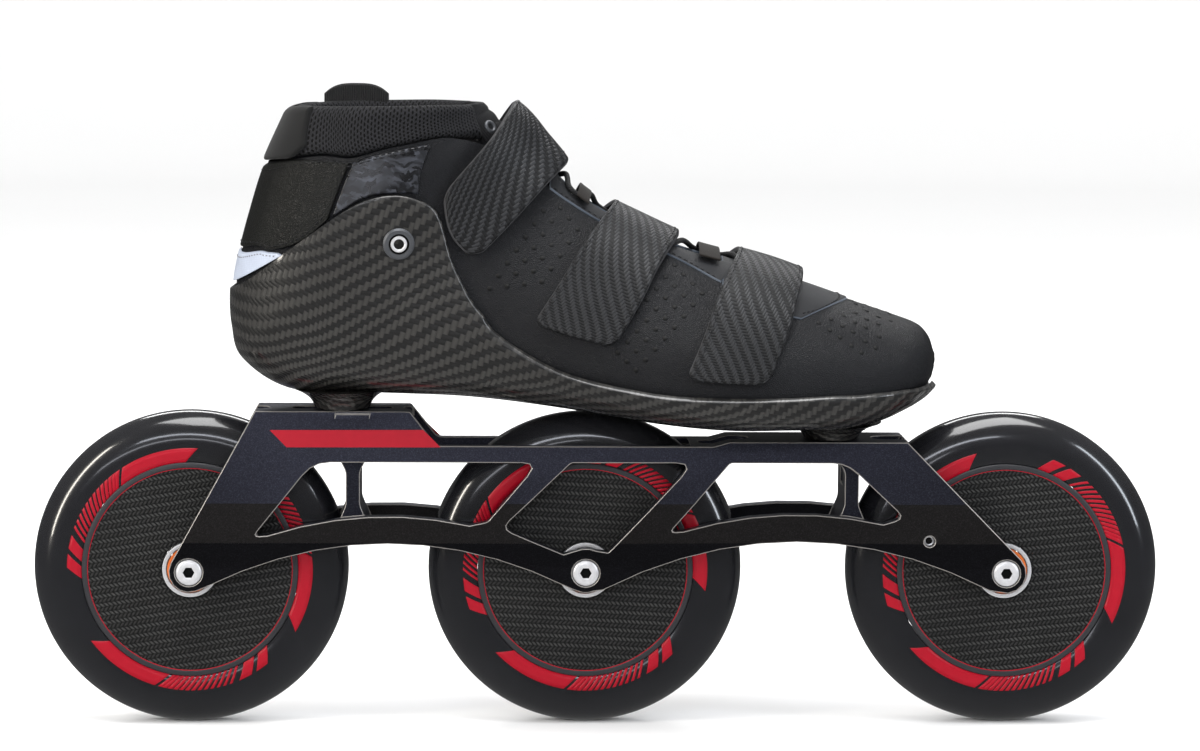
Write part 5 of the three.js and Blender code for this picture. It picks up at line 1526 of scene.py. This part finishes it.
@dataclass
class Shell:
    """The moulded carbon shell with its pedestals and ankle inserts."""

    low: float = 1.0
    high: float = 3.1
    rim: tuple[Pair, ...] = (
        (132.6, 138.6), (119, 137.6), (96, 136.5), (72, 136.1), (46, 136.2), (18, 138), (-9, 143.5), (-31, 153.5),
        (-46, 167), (-55.6, 181.6), (-61.5, 198), (-67, 208.5), (-78, 212.8), (-92, 211), (-104, 204.1),
        (-116, 194.2), (-124, 187.4),
    )
    rim_stations: tuple[float, ...] = (
        0, 2, 4, 5.1, 6.1, 7.1, 8, 8.9, 9.7, 10.4, 11.1, 11.8, 12.4, 12.9, 13.4, 13.8, 14,
    )
    pedestals: tuple[tuple[float, float, float], ...] = ((-102, 126.2, 134.59), (93, 114.6, 121.44))

    def place(self, along: Array, across: Array) -> Spots:
        """Cut number and angle at shares along the shell and round it."""
        edge_u, edge_angle = FORM.line(*self.rim)(along)
        base_u = through(np.array(self.rim_stations), along * (len(self.rim_stations) - 1))

        def mixed(share: Array) -> Spots:
            """Between the line under the sole and the rim."""
            return between((base_u, 180), (edge_u, edge_angle), share)

        return both_sides(across, mixed)

    def build(self) -> None:
        """Makes the shell, its pedestals and its inserts."""
        layer = Layer(self.place, self.low, self.high, steps=(130, 104), edge=0.9, chart=Chart.BOOT)
        layer.fit("moulded_shell", SHELL_CARBON, "carbon_shell")
        for name, (x, deck, sole) in zip(("rear", "front"), self.pedestals):
            settle(self.pedestal(f"pedestal_{name}", x, deck + 0.3, sole), SHELL_CARBON)
        self.inserts()

    def pedestal(self, name: str, x: float, low: float, high: float) -> Piece:
        """An oval foot that flares into the sole."""
        turn = np.linspace(0, 2 * math.pi, 73)[:-1]
        rings = []
        for share in np.concatenate([[0, 0.02, 0.06], np.linspace(0.12, 1, 15)]):
            flare = 1 + (9 / 11) * (0.25 * share + 0.75 * share ** 2.6)
            tuck = 0.0 if share > 0.04 else 0.35 * (1 - share / 0.04)
            z = low + (high - low) * share
            long, wide = 11 * flare - tuck, 16 * flare - tuck
            rings.append([[x + long * math.cos(a), wide * math.sin(a), z] for a in turn])
        count = len(turn)
        points = np.array(rings).reshape(-1, 3)
        caps = [tuple(range(count)), tuple((len(rings) - 1) * count + i for i in range(count))]
        faces = caps + ring_faces(len(rings), count)
        chart = np.stack([points[:, 0] - points[:, 1] * 0.4, points[:, 2] + np.abs(points[:, 1])], axis=-1)
        return piece_from(name, points, faces, [SHELL_CARBON], chart, None, 50.0)

    def inserts(self) -> None:
        """Sets a threaded insert in each side for a clip-on cuff."""
        spots = {
            Side.OUTER: ((-78.902, -39.187, 194.366), (0.13091, -0.98883, -0.07127)),
            Side.INNER: ((-78.902, 39.181, 194.366), (0.12479, 0.98907, -0.07848)),
        }
        profile = [(0.01, -1.8), (2.0, -1.8), (2.0, 1.2), (2.3, 1.45), (3.0, 1.45), (3.2, 1.1), (3.3, 0.5), (3.7, 0.5),
                   (4.0, 1.3), (5.4, 1.25), (6.1, 0.6), (6.1, 0.05), (3.55, -0.1), (3.55, -2.1), (0.01, -2.1)]
        # The bore and the groove get the near-black painted shade; the inner ring is steel.
        marks = [1, 1, 2, 2, 2, 1, 1, 1, 0, 0, 0, 0, 0, 0, 0]
        for side, (point, normal) in spots.items():
            finishes = [INSERT_METAL, BORE_PAINTED_SHADE, STEEL]
            piece = lathe(f"cuff_insert_{side.label}", profile, finishes, point, normal, 56, marks)
            settle(piece, INSERT_METAL, f"ankle_insert_{side.label}")


@dataclass
class Upper:
    """The leather upper, its overlays and its holes."""

    thickness: float = 2.2
    throat: float = 20.0
    seam: tuple[Any, ...] = ([13.6, 41], (-61, 235), (-80, 231.5), (-96.5, 227.2), (-112, 227.4), [17.02, 180])
    stay_low: tuple[Any, ...] = ([9.5, 26], [8.2, 23], [7.08, 24], [6.32, 34])

    def place(self, along: Array, across: Array) -> Spots:
        """Cut number and angle at shares along the upper and round it."""
        seam_u, seam_angle = FORM.line(*self.seam)(1 - np.abs(2 * across - 1))
        ahead = 0.34
        front = np.clip(along / ahead, 0, 1)
        back = np.clip((along - ahead) / (1 - ahead), 0, 1)
        u = 4.6 * front + (seam_u - 4.6) * back
        opening = self.throat * self.open_share(u)
        share = np.abs(2 * across - 1)
        angle = opening + (180 - opening) * (1 - share)
        angle = angle + (seam_angle - angle) * back ** 3
        return u, np.where(across >= 0.5, -angle, angle)

    def open_share(self, u: Array) -> Array:
        """How far the throat is open at a cut number."""
        t = np.clip((u - 4.15) / 1.1, 0, 1)
        return t * t * (3 - 2 * t)

    def build(self) -> None:
        """Makes the upper and everything sewn to it."""
        self.build_leather()
        self.build_overlays()
        self.build_holes()

    def build_leather(self) -> None:
        """Makes the leather in one piece with a domed toe."""
        rows = np.concatenate([np.linspace(0, 1, 110), [1.0]])
        rows = np.unique(rows)
        columns = shares(230.0, 110, 1.6)
        first, second = np.meshgrid(rows, columns, indexing="ij")
        u, angle = self.place(first, second)
        opened = self.open_share(u)
        gap = np.minimum(second, 1 - second) * 230
        side_full = np.sqrt(1 - (1 - np.clip(gap / 1.2, 0, 1)) ** 2)
        full = 1 - (1 - side_full) * opened
        top = FORM.on(u, angle, -self.thickness * 0.6 * (1 - full) + self.folds(u, angle))
        bottom = FORM.on(u, angle, -self.thickness)
        domes = []
        for grid, bulge in ((top, 1.0), (bottom, 0.3)):
            centre = grid[0].mean(axis=0)
            caps = []
            for turn in np.linspace(0, math.pi / 2, 9)[:-1]:
                ring = centre + (grid[0] - centre) * math.sin(turn)
                ring[:, 0] += bulge * math.cos(turn)
                caps.append(ring)
            domes.append(np.concatenate([np.array(caps), grid]))
        closed = np.concatenate([np.ones(8, dtype=bool), opened[:-1, 0] < 1e-9])
        points, faces = slab(domes[0], domes[1], closed)
        columns_count = len(columns)
        faces = [f for f in faces if not self.at_pole(f, columns_count, len(domes[0]))]
        piece = piece_from("boot_upper", points, faces, [UPPER_LEATHER], crease=70.0, weld=True)
        settle(piece, UPPER_LEATHER, "leather_upper")

    @staticmethod
    def at_pole(face: Sequence[int], columns: int, rows: int) -> bool:
        """Whether a face is the wall between the two poles of the dome."""
        under = rows * columns
        tops = [v for v in face if v < columns]
        bottoms = [v for v in face if under <= v < under + columns]
        return len(tops) == 2 and len(bottoms) == 2

    @staticmethod
    def folds(u: Array, angle: Array) -> Array:
        """Shallow creases where the boot bends and slow unevenness elsewhere."""
        bend = np.exp(-((u - 5.7) / 1.1) ** 2) * np.exp(-((np.abs(angle) - 62) / 26) ** 2)
        crease = 0.28 * bend * np.sin(u * 9.0 + np.abs(angle) * 0.05)
        slow = 0.12 * np.sin(u * 2.3 + angle * 0.07) * np.sin(angle * 0.11 - u * 1.7)
        return crease + slow

    def build_overlays(self) -> None:
        """Makes the eyestays and the toe overlay."""
        low = FORM.line(*self.stay_low)
        for side in Side:

            def stay(along: Array, across: Array, sign: int = side.value) -> Spots:
                """Between the throat and the lower edge."""
                u, angle = between((9.9 - 3.9 * along, 9.0 + 3.0 * along), low(along), across)
                return u, sign * angle

            layer = Layer(stay, -0.5, 0.75, steps=(46, 12), edge=0.55)
            layer.fit(f"eyestay_{side.label}", EYESTAY_FIBRE, trim=PIPING)

        def toe(along: Array, across: Array) -> Spots:
            """From behind the toe to the first strap, over the ridge."""
            angle = -46 + 92 * across
            front = 4.12 + 0.96 * (np.abs(angle) / 46) ** 1.7
            rear = 6.3 + 0 * angle
            return front + (rear - front) * along, angle

        Layer(toe, -0.5, 0.7, steps=(22, 48), edge=0.55).fit("toe_overlay", EYESTAY_FIBRE, trim=PIPING)

    def build_holes(self) -> None:
        """Makes the perforations of both sides as dark eyes of painted shade."""
        spots: list[Pair] = []
        for row in range(7):
            for column in range(3 if row < 2 else 4):
                start = (-22.7 - 3.5 * row, 206.2 - 4.9 * row)
                spots.append((start[0] + 6.8 * column, start[1] + 0.9 * column))
        for row in range(8):
            for column in range(4):
                spots.append((28.8 + 3.5 * column - 2.5 * row * 1.5, 185.1 - 3.4 * column - 4.6 * row * 0.9))
        toe_rows = ((84.9, 163.5, 111.1, 166.4, 6), (89.3, 160.8, 115.5, 164.4, 6), (93.2, 158.1, 115.1, 162.5, 5),
                    (97.6, 154.9, 109.3, 157.7, 3), (101.7, 168.7, 106.4, 168.3, 2), (101.5, 152.2, 107.4, 153.8, 2))
        for x0, z0, x1, z1, count in toe_rows:
            for t in np.linspace(0, 1, count):
                arch = 0.9 * math.sin(math.pi * t) if count > 3 else 0.0
                spots.append((x0 + (x1 - x0) * t, z0 + (z1 - z0) * t + arch))
        places = np.array([FORM.locate(x, z) for x, z in spots])
        u, angle = places[:, 0], places[:, 1]
        keep = self.clear_of_shell(np.array(spots))
        u, angle = u[keep], angle[keep]
        points = np.concatenate([FORM.on(u, -angle, 0.02), FORM.on(u, angle, 0.02)])
        aims = np.concatenate([FORM.normal(u, -angle), FORM.normal(u, angle)])
        seed = seed_mesh("perforation_seed", points, aim=aims)
        piece = perforation_tree().grow("perforations", seed, BORE_PAINTED_SHADE)
        settle(piece, BORE_PAINTED_SHADE)

    @staticmethod
    def clear_of_shell(spots: Array) -> Array:
        """Which holes stay above the shell's rim."""
        rim = np.array(Shell().rim)[:13][::-1]
        return spots[:, 1] > np.interp(spots[:, 0], rim[:, 0], rim[:, 1]) + 4.5


@dataclass
class Cuff:
    """The collar, its panels, the heel pieces and the pull tab."""

    top: tuple[Any, ...] = ([17.9, 33.5], (-62, 247.6), (-80, 248), (-97, 247.8), (-110, 247.2), [18, 180])
    seam: tuple[Any, ...] = ([13.2, 33.5], (-61, 235), (-80, 231.5), (-96.5, 227.2), (-112, 227.4), [17.02, 180])

    def ring(self, low: Sequence[Any], high: Sequence[Any]) -> Place:
        """Places between two lines that both run round the heel."""
        low_line, high_line = FORM.line(*low), FORM.line(*high)

        def place(along: Array, across: Array) -> Spots:
            """Across runs from the inner side round the heel to the outer side."""

            def mixed(share: Array) -> Spots:
                """Between the two lines; the lines start at the side and end at the heel."""
                return between(low_line(1 - share), high_line(1 - share), along)

            return both_sides(across, mixed)

        return place

    def build(self) -> None:
        """Makes the cuff's pieces."""
        place = self.ring(self.seam, self.top)

        def inside(along: Array, across: Array) -> Spots:
            """The collar starts a little above the seam."""
            return place(0.04 + 0.96 * along, across)

        def quilt(along: Array, across: Array) -> Array:
            """Soft swells along the collar."""
            return 0.35 * np.sin(across * 46) * np.sin(np.pi * along)

        collar = Layer(inside, -6.0, 0.9, steps=(30, 150), edge=3.4, both=True, puff=quilt)
        collar.fit("collar_pad", COLLAR_MESH, "collar")
        quarter = self.ring(
            [(-106, 203.5), (-116, 195.2), (-127.3, 191.4), (-134.2, 192.4), [15.3, 180]],
            [(-97.6, 225.6), (-107, 226), (-116, 226.2), (-124, 225.4), [16.95, 180]],
        )
        Layer(quarter, 0.0, 1.7, steps=(26, 70), edge=0.9).fit("heel_panel", QUARTER_LEATHER, "heel_quarter")
        pad = self.ring(
            [(-114, 231.5), (-120, 227), (-126, 226), [17.05, 180]],
            [(-112, 246.6), (-114, 246.8), (-117, 247), [17.95, 180]],
        )
        cushion = Layer(pad, 0.4, 3.1, steps=(24, 50), edge=2.4)
        cushion.fit("heel_cushion", HEEL_SUEDE, "heel_pad")
        back = FORM.locate(-124, 187.4)
        patch = self.ring(
            [[back[0] + 0.18, back[1]], [14.18, 180]],
            [(-125.4, 190.2), (-129, 190.3), (-134.2, 190.3), [15.2, 180]],
        )
        Layer(patch, 0.6, 1.75, steps=(20, 50), edge=0.6).fit("heel_reflector", PATCH_FILM, "heel_patch")
        self.panels()
        self.tab()

    def panels(self) -> None:
        """Makes the glossy panel of each side."""
        low = FORM.line((-104.6, 204.6), (-92, 212), (-78, 213.8), (-71.6, 213.4))
        high = FORM.line((-96.4, 225.6), (-88, 228.4), (-76, 231), (-66.8, 232.6))
        for side in Side:

            def place(along: Array, across: Array, sign: int = side.value) -> Spots:
                """Between the panel's two edges."""
                u, angle = between(low(along), high(along), across)
                return u, sign * angle

            panel = Layer(place, 0.0, 1.7, steps=(34, 22), edge=0.8)
            panel.fit(f"side_panel_{side.label}", CUFF_CARBON, f"cuff_panel_{side.label}")

    def tab(self) -> None:
        """Makes the webbing pull tab with a rounded top."""
        rows, columns = np.linspace(0, 1, 15), np.linspace(0, 1, 25)
        first, second = np.meshgrid(rows, columns, indexing="ij")
        x = -97.3 + (second - 0.5) * 26
        crown = 4.2 * (np.abs(2 * second - 1)) ** 3.2
        z = 242.5 + first * (11.4 - crown)
        full = np.clip(np.minimum(np.minimum(second, 1 - second) * 26, (1 - first) * 11) / 0.8, 0, 1) ** 0.5
        y = 31.2 + 0.5 * np.sin(second * math.pi)
        top = np.stack([x, y + 1.1 * (0.3 + 0.7 * full), z], axis=-1)
        bottom = np.stack([x, y - 1.1 * (0.3 + 0.7 * full), z], axis=-1)
        points, faces = slab(top, bottom)
        chart = np.concatenate([np.stack([second * 26, first * 11], axis=-1).reshape(-1, 2)] * 2)
        settle(piece_from("pull_tab", points, faces, [TAB_WEB], chart), TAB_WEB)


@dataclass
class Inside:
    """The tongue, the insole and the lace."""

    def build(self) -> None:
        """Makes the pieces inside the throat."""

        def tongue(along: Array, across: Array) -> Spots:
            """Along the instep up to the top of the boot."""
            return 4.1 + 13.8 * along, -32 + 64 * across

        def swell(along: Array, across: Array) -> Array:
            """Soft cells across the tongue."""
            return 0.5 * np.abs(np.sin(along * 22)) * np.sin(np.pi * across)

        pad = Layer(tongue, -6.6, -3.5, steps=(120, 24), edge=1.5, both=True, puff=swell)
        pad.fit("tongue_pad", LINING_MESH, "tongue")

        def sole(along: Array, across: Array) -> Spots:
            """Over the bottom of the boot, inside."""
            angle = 120 + 120 * across
            return 1.6 + 9.1 * along, np.where(angle > 180, angle - 360, angle)

        Layer(sole, -6.5, -3.5, steps=(60, 30), edge=1.0, both=True).fit("footbed", LINING_MESH, "insole")
        self.lace()

    def lace(self) -> None:
        """Runs the lace across the tongue from eyelet to eyelet."""
        spots = []
        for k in range(10):
            side, u = (-1 if k % 2 == 0 else 1), 5.55 + 0.78 * k
            inside = u > 9.7
            reach, lift = (24, 0.8) if inside else (15.5, 1.9)
            spots.append(FORM.on(u, side * reach, lift))
            spots.append(FORM.on(u + 0.34, side * reach, lift))
            spots.append(FORM.on(u + 0.56, 0, 2.3))
        spots.pop()
        spots = np.array(spots)
        t = np.linspace(0, len(spots) - 1, 420)
        path = np.stack([through(spots[:, k], t) for k in range(3)], axis=-1)
        piece = cord_tree().grow("lace_cord_run", seed_mesh("lace_seed", path, [len(path)]), LACE_CORD)
        settle(piece, LACE_CORD, "lace")
        for name, u in (("upper", 8.62), ("lower", 6.5)):

            def keeper(along: Array, across: Array, middle: float = u) -> Spots:
                """A short band over the ridge."""
                angle = -21 + 42 * across
                return middle - 0.16 + 0.32 * along, angle

            band = Layer(keeper, 2.9, 3.8, steps=(8, 30), edge=0.4, both=True)
            band.fit(f"lace_keeper_{name}", KEEPER_SUEDE)


@dataclass
class Strap:
    """A strap over the instep, in one piece from its root to its tip."""

    name: str
    lift: float
    rear: tuple[Any, ...]
    front: tuple[Any, ...]
    hinge: tuple[tuple[float, float, float], tuple[float, float, float]]
    thickness: float = 2.2
    corner: float = 5.0
    tuck: tuple[float, float, float] = (36.0, 78.0, 0.4)

    def spots(self, edge: Sequence[Any]) -> Array:
        """Five places of one edge, from the root round the ridge to the tip."""
        tail = [FORM.locate(*s) for s in edge[1:]]
        signed = [(u, a) for u, a in reversed(tail)] + [(edge[0], 0.0)] + [(u, -a) for u, a in tail]
        return np.array(signed)

    def place(self, along: Array, across: Array) -> Spots:
        """Cut number and angle at shares along the strap and across it."""
        rear, front = self.spots(self.rear), self.spots(self.front)
        t = along * 4
        ends = [(through(edge[:, 0], t), through(edge[:, 1], t)) for edge in (rear, front)]
        return between(*ends, across)

    def lifted(self, angle: Array) -> Array:
        """Height of the strap's underside, which sinks towards its ends."""
        low, high, end = self.tuck
        t = np.clip((np.abs(angle) - low) / (high - low), 0, 1)
        t = t * t * (3 - 2 * t)
        return self.lift + (end - self.lift) * t

    def shape(self, along: Array, across: Array) -> tuple[Array, Array, Pair]:
        """The strap's places with its rounded tips, and its length and width."""
        coarse = FORM.on(*self.place(*np.meshgrid(np.linspace(0, 1, 33), np.linspace(0, 1, 5), indexing="ij")))
        length = float(np.linalg.norm(np.diff(coarse, axis=0), axis=2).sum(axis=0).mean())
        width = float(np.linalg.norm(np.diff(coarse, axis=1), axis=2).sum(axis=1).mean())
        gap = np.minimum(along, 1 - along) * length
        inset = self.corner - np.sqrt(np.clip(self.corner ** 2 - np.clip(self.corner - gap, 0, None) ** 2, 0, None))
        narrow = 1 - 2 * np.where(gap < self.corner, inset, 0) / width
        u, angle = self.place(along, 0.5 + (across - 0.5) * narrow)
        return u, angle, (length, width)

    def build(self, stitches: RepeatTree) -> None:
        """Makes the strap and its stitches."""
        first, second = np.meshgrid(shares(150, 110, 0.8), shares(26, 16, 0.7), indexing="ij")
        u, angle, (length, width) = self.shape(first, second)
        full = round_profile(first, second, (length, width), 0.7)
        base = self.lifted(angle)
        belly = 0.35 * np.sin(np.pi * second) + 0.12 * np.sin(first * 31) * np.sin(np.pi * second)
        top = FORM.on(u, angle, base + self.thickness * (0.3 + 0.7 * full) + belly * full)
        bottom = FORM.on(u, angle, base)
        points, faces = slab(top, bottom)
        chart = np.stack([(0.5 - second) * width, (first - 0.5) * length], axis=-1).reshape(-1, 2)
        inside = np.concatenate([full.ravel() > 0.6] * 2) & (np.arange(len(points)) < full.size)
        marks = [0 if all(inside[v] for v in f) else 1 for f in faces]
        piece = piece_from(f"{self.name}_strap", points, faces, [STRAP_CARBON, STRAP_EDGE],
                           np.concatenate([chart, chart]), marks, 60.0)
        self.bend(piece)
        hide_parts(f"strap_{self.name}_root", f"strap_{self.name}_tail")
        LOG.info("%s bends over its hinge, %d faces", piece.name, len(faces))
        chains, counts = [], []
        for margin in (2.0 / width, 1 - 2.0 / width):
            run = np.linspace(0.03, 0.97, 150)
            u, angle, _ = self.shape(run, np.full_like(run, margin))
            chains.append(FORM.on(u, angle, self.lifted(angle) + self.thickness + 0.08))
            counts.append(len(run))
        seed = seed_mesh(f"{self.name}_stitch_seed", np.concatenate(chains), counts)
        sewn = stitches.grow(f"{self.name}_strap_stitches", seed, THREAD)
        self.bend(sewn)

    def bend(self, piece: Piece) -> None:
        """Bakes the piece's placement into its mesh."""
        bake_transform(piece)


@dataclass
class Seams:
    """The stitched lines of the boot."""

    tree: RepeatTree

    def run(self, name: str, line: Line, lift: float, finish: Finish,
            span: Pair = (0.02, 0.98), count: int = 160, **sizes: Any) -> None:
        """Sews one line on both sides of the boot.

        Args:
            name: the piece's name.
            line: the line on the boot.
            lift: how far the thread stands off the leather, in millimetres.
            finish: the thread.
            span: the shares where the stitches start and end.
            count: how many points follow the line.
            sizes: inputs of the stitch tree.
        """
        t = np.linspace(*span, count)
        u, angle = line(t)
        points = np.concatenate([FORM.on(u, angle, lift), FORM.on(u, -angle, lift)])
        seed = seed_mesh(name + "_seed", points, [count, count])
        settle(self.tree.grow(name, seed, finish, **sizes), finish)

    def build(self) -> None:
        """Sews every line."""
        self.run("collar_stitches", FORM.line((-62, 233.4), (-80, 229.9), (-96, 225.9), (-112, 225.6), [16.88, 178]),
                 1.75, THREAD)
        self.run("panel_stitches", FORM.line((-98.5, 224), (-88, 226.9), (-76, 229.4), (-67.6, 231.1)), 1.8, THREAD)
        self.run("quarter_stitches", FORM.line((-107.5, 205), (-116.4, 196.9), (-127.2, 193.1), (-134, 194.1),
                                               [15.42, 178]), 1.8, THREAD)
        self.run("patch_stitches", FORM.line((-126.4, 189.3), (-130, 189.4), (-134, 189.4), [15.08, 178]), 1.82,
                 PALE_THREAD, Pitch=1.8 * MM, Length=0.9 * MM)
        self.run("eyestay_stitches", FORM.line([9.4, 24.2], [8.2, 21.2], [7.08, 22.2], [6.4, 31.5]), 0.85, THREAD)
        self.run("toe_stitches", FORM.line([5.05, 42], [4.72, 34], [4.38, 18], [4.3, 1.5]), 0.82, THREAD,
                 Pitch=2.2 * MM, Length=1.4 * MM)


def ring_of(name: str, u: float, angle: float, lift: float, radius: float, hole: float) -> Piece:
    """A pressed eyelet on the boot.

    Args:
        name: the piece's name.
        u: its cut number.
        angle: its angle.
        lift: height over the leather in millimetres.
        radius: its outer radius.
        hole: the radius of its hole.

    Returns:
        The eyelet.
    """
    spot = FORM.on(u, angle, lift)
    aim = FORM.normal(np.array(u), np.array(angle))
    profile = rounded([(hole, -1.2), (hole, 0.35), ((hole + radius) / 2, 0.7), (radius, 0.25), (radius, -0.3),
                       (hole + 0.4, -0.4), (hole + 0.4, -1.2)], 0.2, 2)
    return lathe(name, profile, [INSERT_METAL], spot, aim, 28)


# ---------------------------------------------------------------- stage


@dataclass
class StudioSet:
    """The floor, the lights and the camera."""

    floor_radius: float = 3.6
    wall_radius: float = 0.9
    wall_height: float = 1.2

    def build(self) -> None:
        """Sets up the studio."""
        self.floor()
        self.lights()
        self.camera()

    def floor(self) -> None:
        """Makes a round floor that curves up into a low wall."""
        profile = [(0.001, 0.0), (1.0, 0.0), (self.floor_radius, 0.0)]
        for a in np.linspace(0, math.pi / 2, 14)[1:]:
            profile.append((self.floor_radius + self.wall_radius * math.sin(a), self.wall_radius * (1 - math.cos(a))))
        profile.append((self.floor_radius + self.wall_radius, self.wall_height))
        turn = np.linspace(0, 2 * math.pi, 97)[:-1]
        points = [(r * math.cos(a) * 1000, r * math.sin(a) * 1000, z * 1000) for r, z in profile for a in turn]
        faces = ring_faces(len(profile), len(turn)) + [tuple(range(len(turn)))]
        mesh = bpy.data.meshes.new("studio_floor")
        mesh.from_pydata((np.array(points) * MM).tolist(), [], faces)
        mesh.materials.append(FLOOR_PAINT.material())
        mesh.polygons.foreach_set("use_smooth", [True] * len(mesh.polygons))
        piece = placed("studio_floor", mesh)
        turn_outward(mesh)
        piece.visible_glossy = False

    def lamp(self, name: str, place: Sequence[float], size: Pair, power: float,
             colour: Colour = (1, 1, 1), target: Sequence[float] = (0, 0, 0.13)) -> None:
        """Adds one soft area light aimed at the skate."""
        data = bpy.data.lights.new(name, "AREA")
        data.shape = "RECTANGLE"
        data.size, data.size_y = size
        data.energy = power
        data.color = colour
        lamp = placed(name, data)
        lamp.location = place
        lamp.visible_camera = False
        aim = Vector(target) - Vector(place)
        lamp.rotation_euler = aim.to_track_quat("-Z", "Y").to_euler()

    def lights(self) -> None:
        """Adds a broad top light, a window at each side and a fill from the front."""
        self.lamp("top_light", (0.1, -0.15, 1.9), (1.5, 1.0), 30)
        self.lamp("left_strip", (-1.5, -0.75, 0.75), (0.16, 1.3), 14, (1.0, 0.95, 0.86))
        self.lamp("right_strip", (1.5, -0.7, 0.8), (0.2, 1.2), 8, (0.86, 0.92, 1.0))
        self.lamp("front_strip", (-0.3, -2.3, 1.35), (1.5, 0.24), 8, (0.88, 0.91, 1.0))
        self.lamp("low_strip", (-0.6, -2.3, 0.62), (1.3, 0.16), 2.5, (0.9, 0.92, 1.0))
        self.lamp("back_light", (0.0, 1.6, 1.3), (1.6, 0.4), 12)
        world = bpy.data.worlds.new("studio_air")
        world.use_nodes = True
        graph = NodeGraph(world.node_tree)
        background = world.node_tree.nodes["Background"]
        _, _, up = graph.split(graph.add("ShaderNodeTexCoord").outputs["Generated"])
        room = graph.times_plus(graph.math("ABSOLUTE", up), 0.16, 0.07)
        gloss = graph.add("ShaderNodeLightPath").outputs["Is Glossy Ray"]
        soft = graph.math("SUBTRACT", 1.0, gloss)
        graph.feed(background.inputs["Strength"], graph.times_plus(gloss, room, soft))
        background.inputs["Color"].default_value = (1, 1, 1, 1)
        bpy.context.scene.world = world
        bpy.context.scene.view_settings.view_transform = "Standard"
        bpy.context.scene.view_settings.look = "None"

    def camera(self) -> None:
        """Sets the camera where the skate is looked at from the front and a little above."""
        yaw, pitch, roll = math.radians(1.805), math.radians(6.27), math.radians(0.37)
        forward = Vector((math.sin(yaw) * math.cos(pitch), math.cos(yaw) * math.cos(pitch), -math.sin(pitch)))
        level = Vector((math.cos(yaw), -math.sin(yaw), 0))
        upright = level.cross(forward)
        right = math.cos(roll) * level + math.sin(roll) * upright
        up = -math.sin(roll) * level + math.cos(roll) * upright
        data = bpy.data.cameras.new("front_camera")
        data.sensor_width = 36.0
        data.lens = 115.65
        data.clip_end = 50.0
        camera = placed("front_camera", data)
        camera.matrix_world = Matrix((
            (right.x, up.x, -forward.x, -0.0476),
            (right.y, up.y, -forward.y, -1.527),
            (right.z, up.z, -forward.z, 0.307),
            (0, 0, 0, 1),
        ))
        bpy.context.scene.camera = camera


def dress_carried_parts() -> None:
    """Gives the CAD parts that stay their finishes."""
    steel = STEEL_PLATE.material()
    for name in ("threaded_insert_rear", "threaded_insert_front", "mount_bolt_rear", "mount_bolt_front"):
        part = bpy.data.objects[name]
        if not part.material_slots:
            part.data.materials.append(steel)
        for slot in part.material_slots:
            slot.material = steel
        LOG.info("%s keeps its CAD shape", name)


STRAPS = (
    Strap("ankle", 5.5, (15.0, (-47, 232), (-62.5, 212.5)), (9.393, (-27.8, 209.1), (-49.5, 187.5)),
          ((-32.80, 0, 248.79), (-12.11, 0, 225.44))),
    Strap("instep", 3.9, (7.976, (-12.1, 185.8), (-26.7, 163.9)), (6.962, (19, 178), (4.5, 155.3)),
          ((5.93, 0, 209.66), (31.71, 0, 197.69))),
    Strap("ball", 3.9, (6.059, (42.5, 166.8), (32.4, 143.7)), (5.022, (75, 166), (64.1, 141.5)),
          ((55.09, -0.03, 191.02), (81.17, 0.98, 182.73))),
)


def main() -> None:
    """Builds the skate, sub-assembly by sub-assembly."""
    logging.basicConfig(level=logging.INFO, format="%(name)s: %(message)s")
    StudioSet().build()
    bands = wheel_band_tree()
    Wheel("rear", -162.0, 9.0, (92, 222, 335), band_tree=bands).build()
    Wheel("middle", -5.2, -3.0, (112, 229, 356), band_tree=bands).build()
    Wheel("front", 162.0, 6.0, (110, 226, 340), band_tree=bands).build()
    Frame().build()
    Shell().build()
    Upper().build()
    Cuff().build()
    Inside().build()
    stitches = stitch_tree()
    for strap in STRAPS:
        strap.build(stitches)
    Seams(stitches).build()
    u, angle = FORM.locate(-43.9, 238.6)
    for side in Side:
        settle(ring_of(f"top_eyelet_{side.label}", u, side.value * angle, 0.5, 2.8, 1.3), INSERT_METAL)
    dress_carried_parts()
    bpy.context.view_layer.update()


if __name__ == "__main__":
    main()
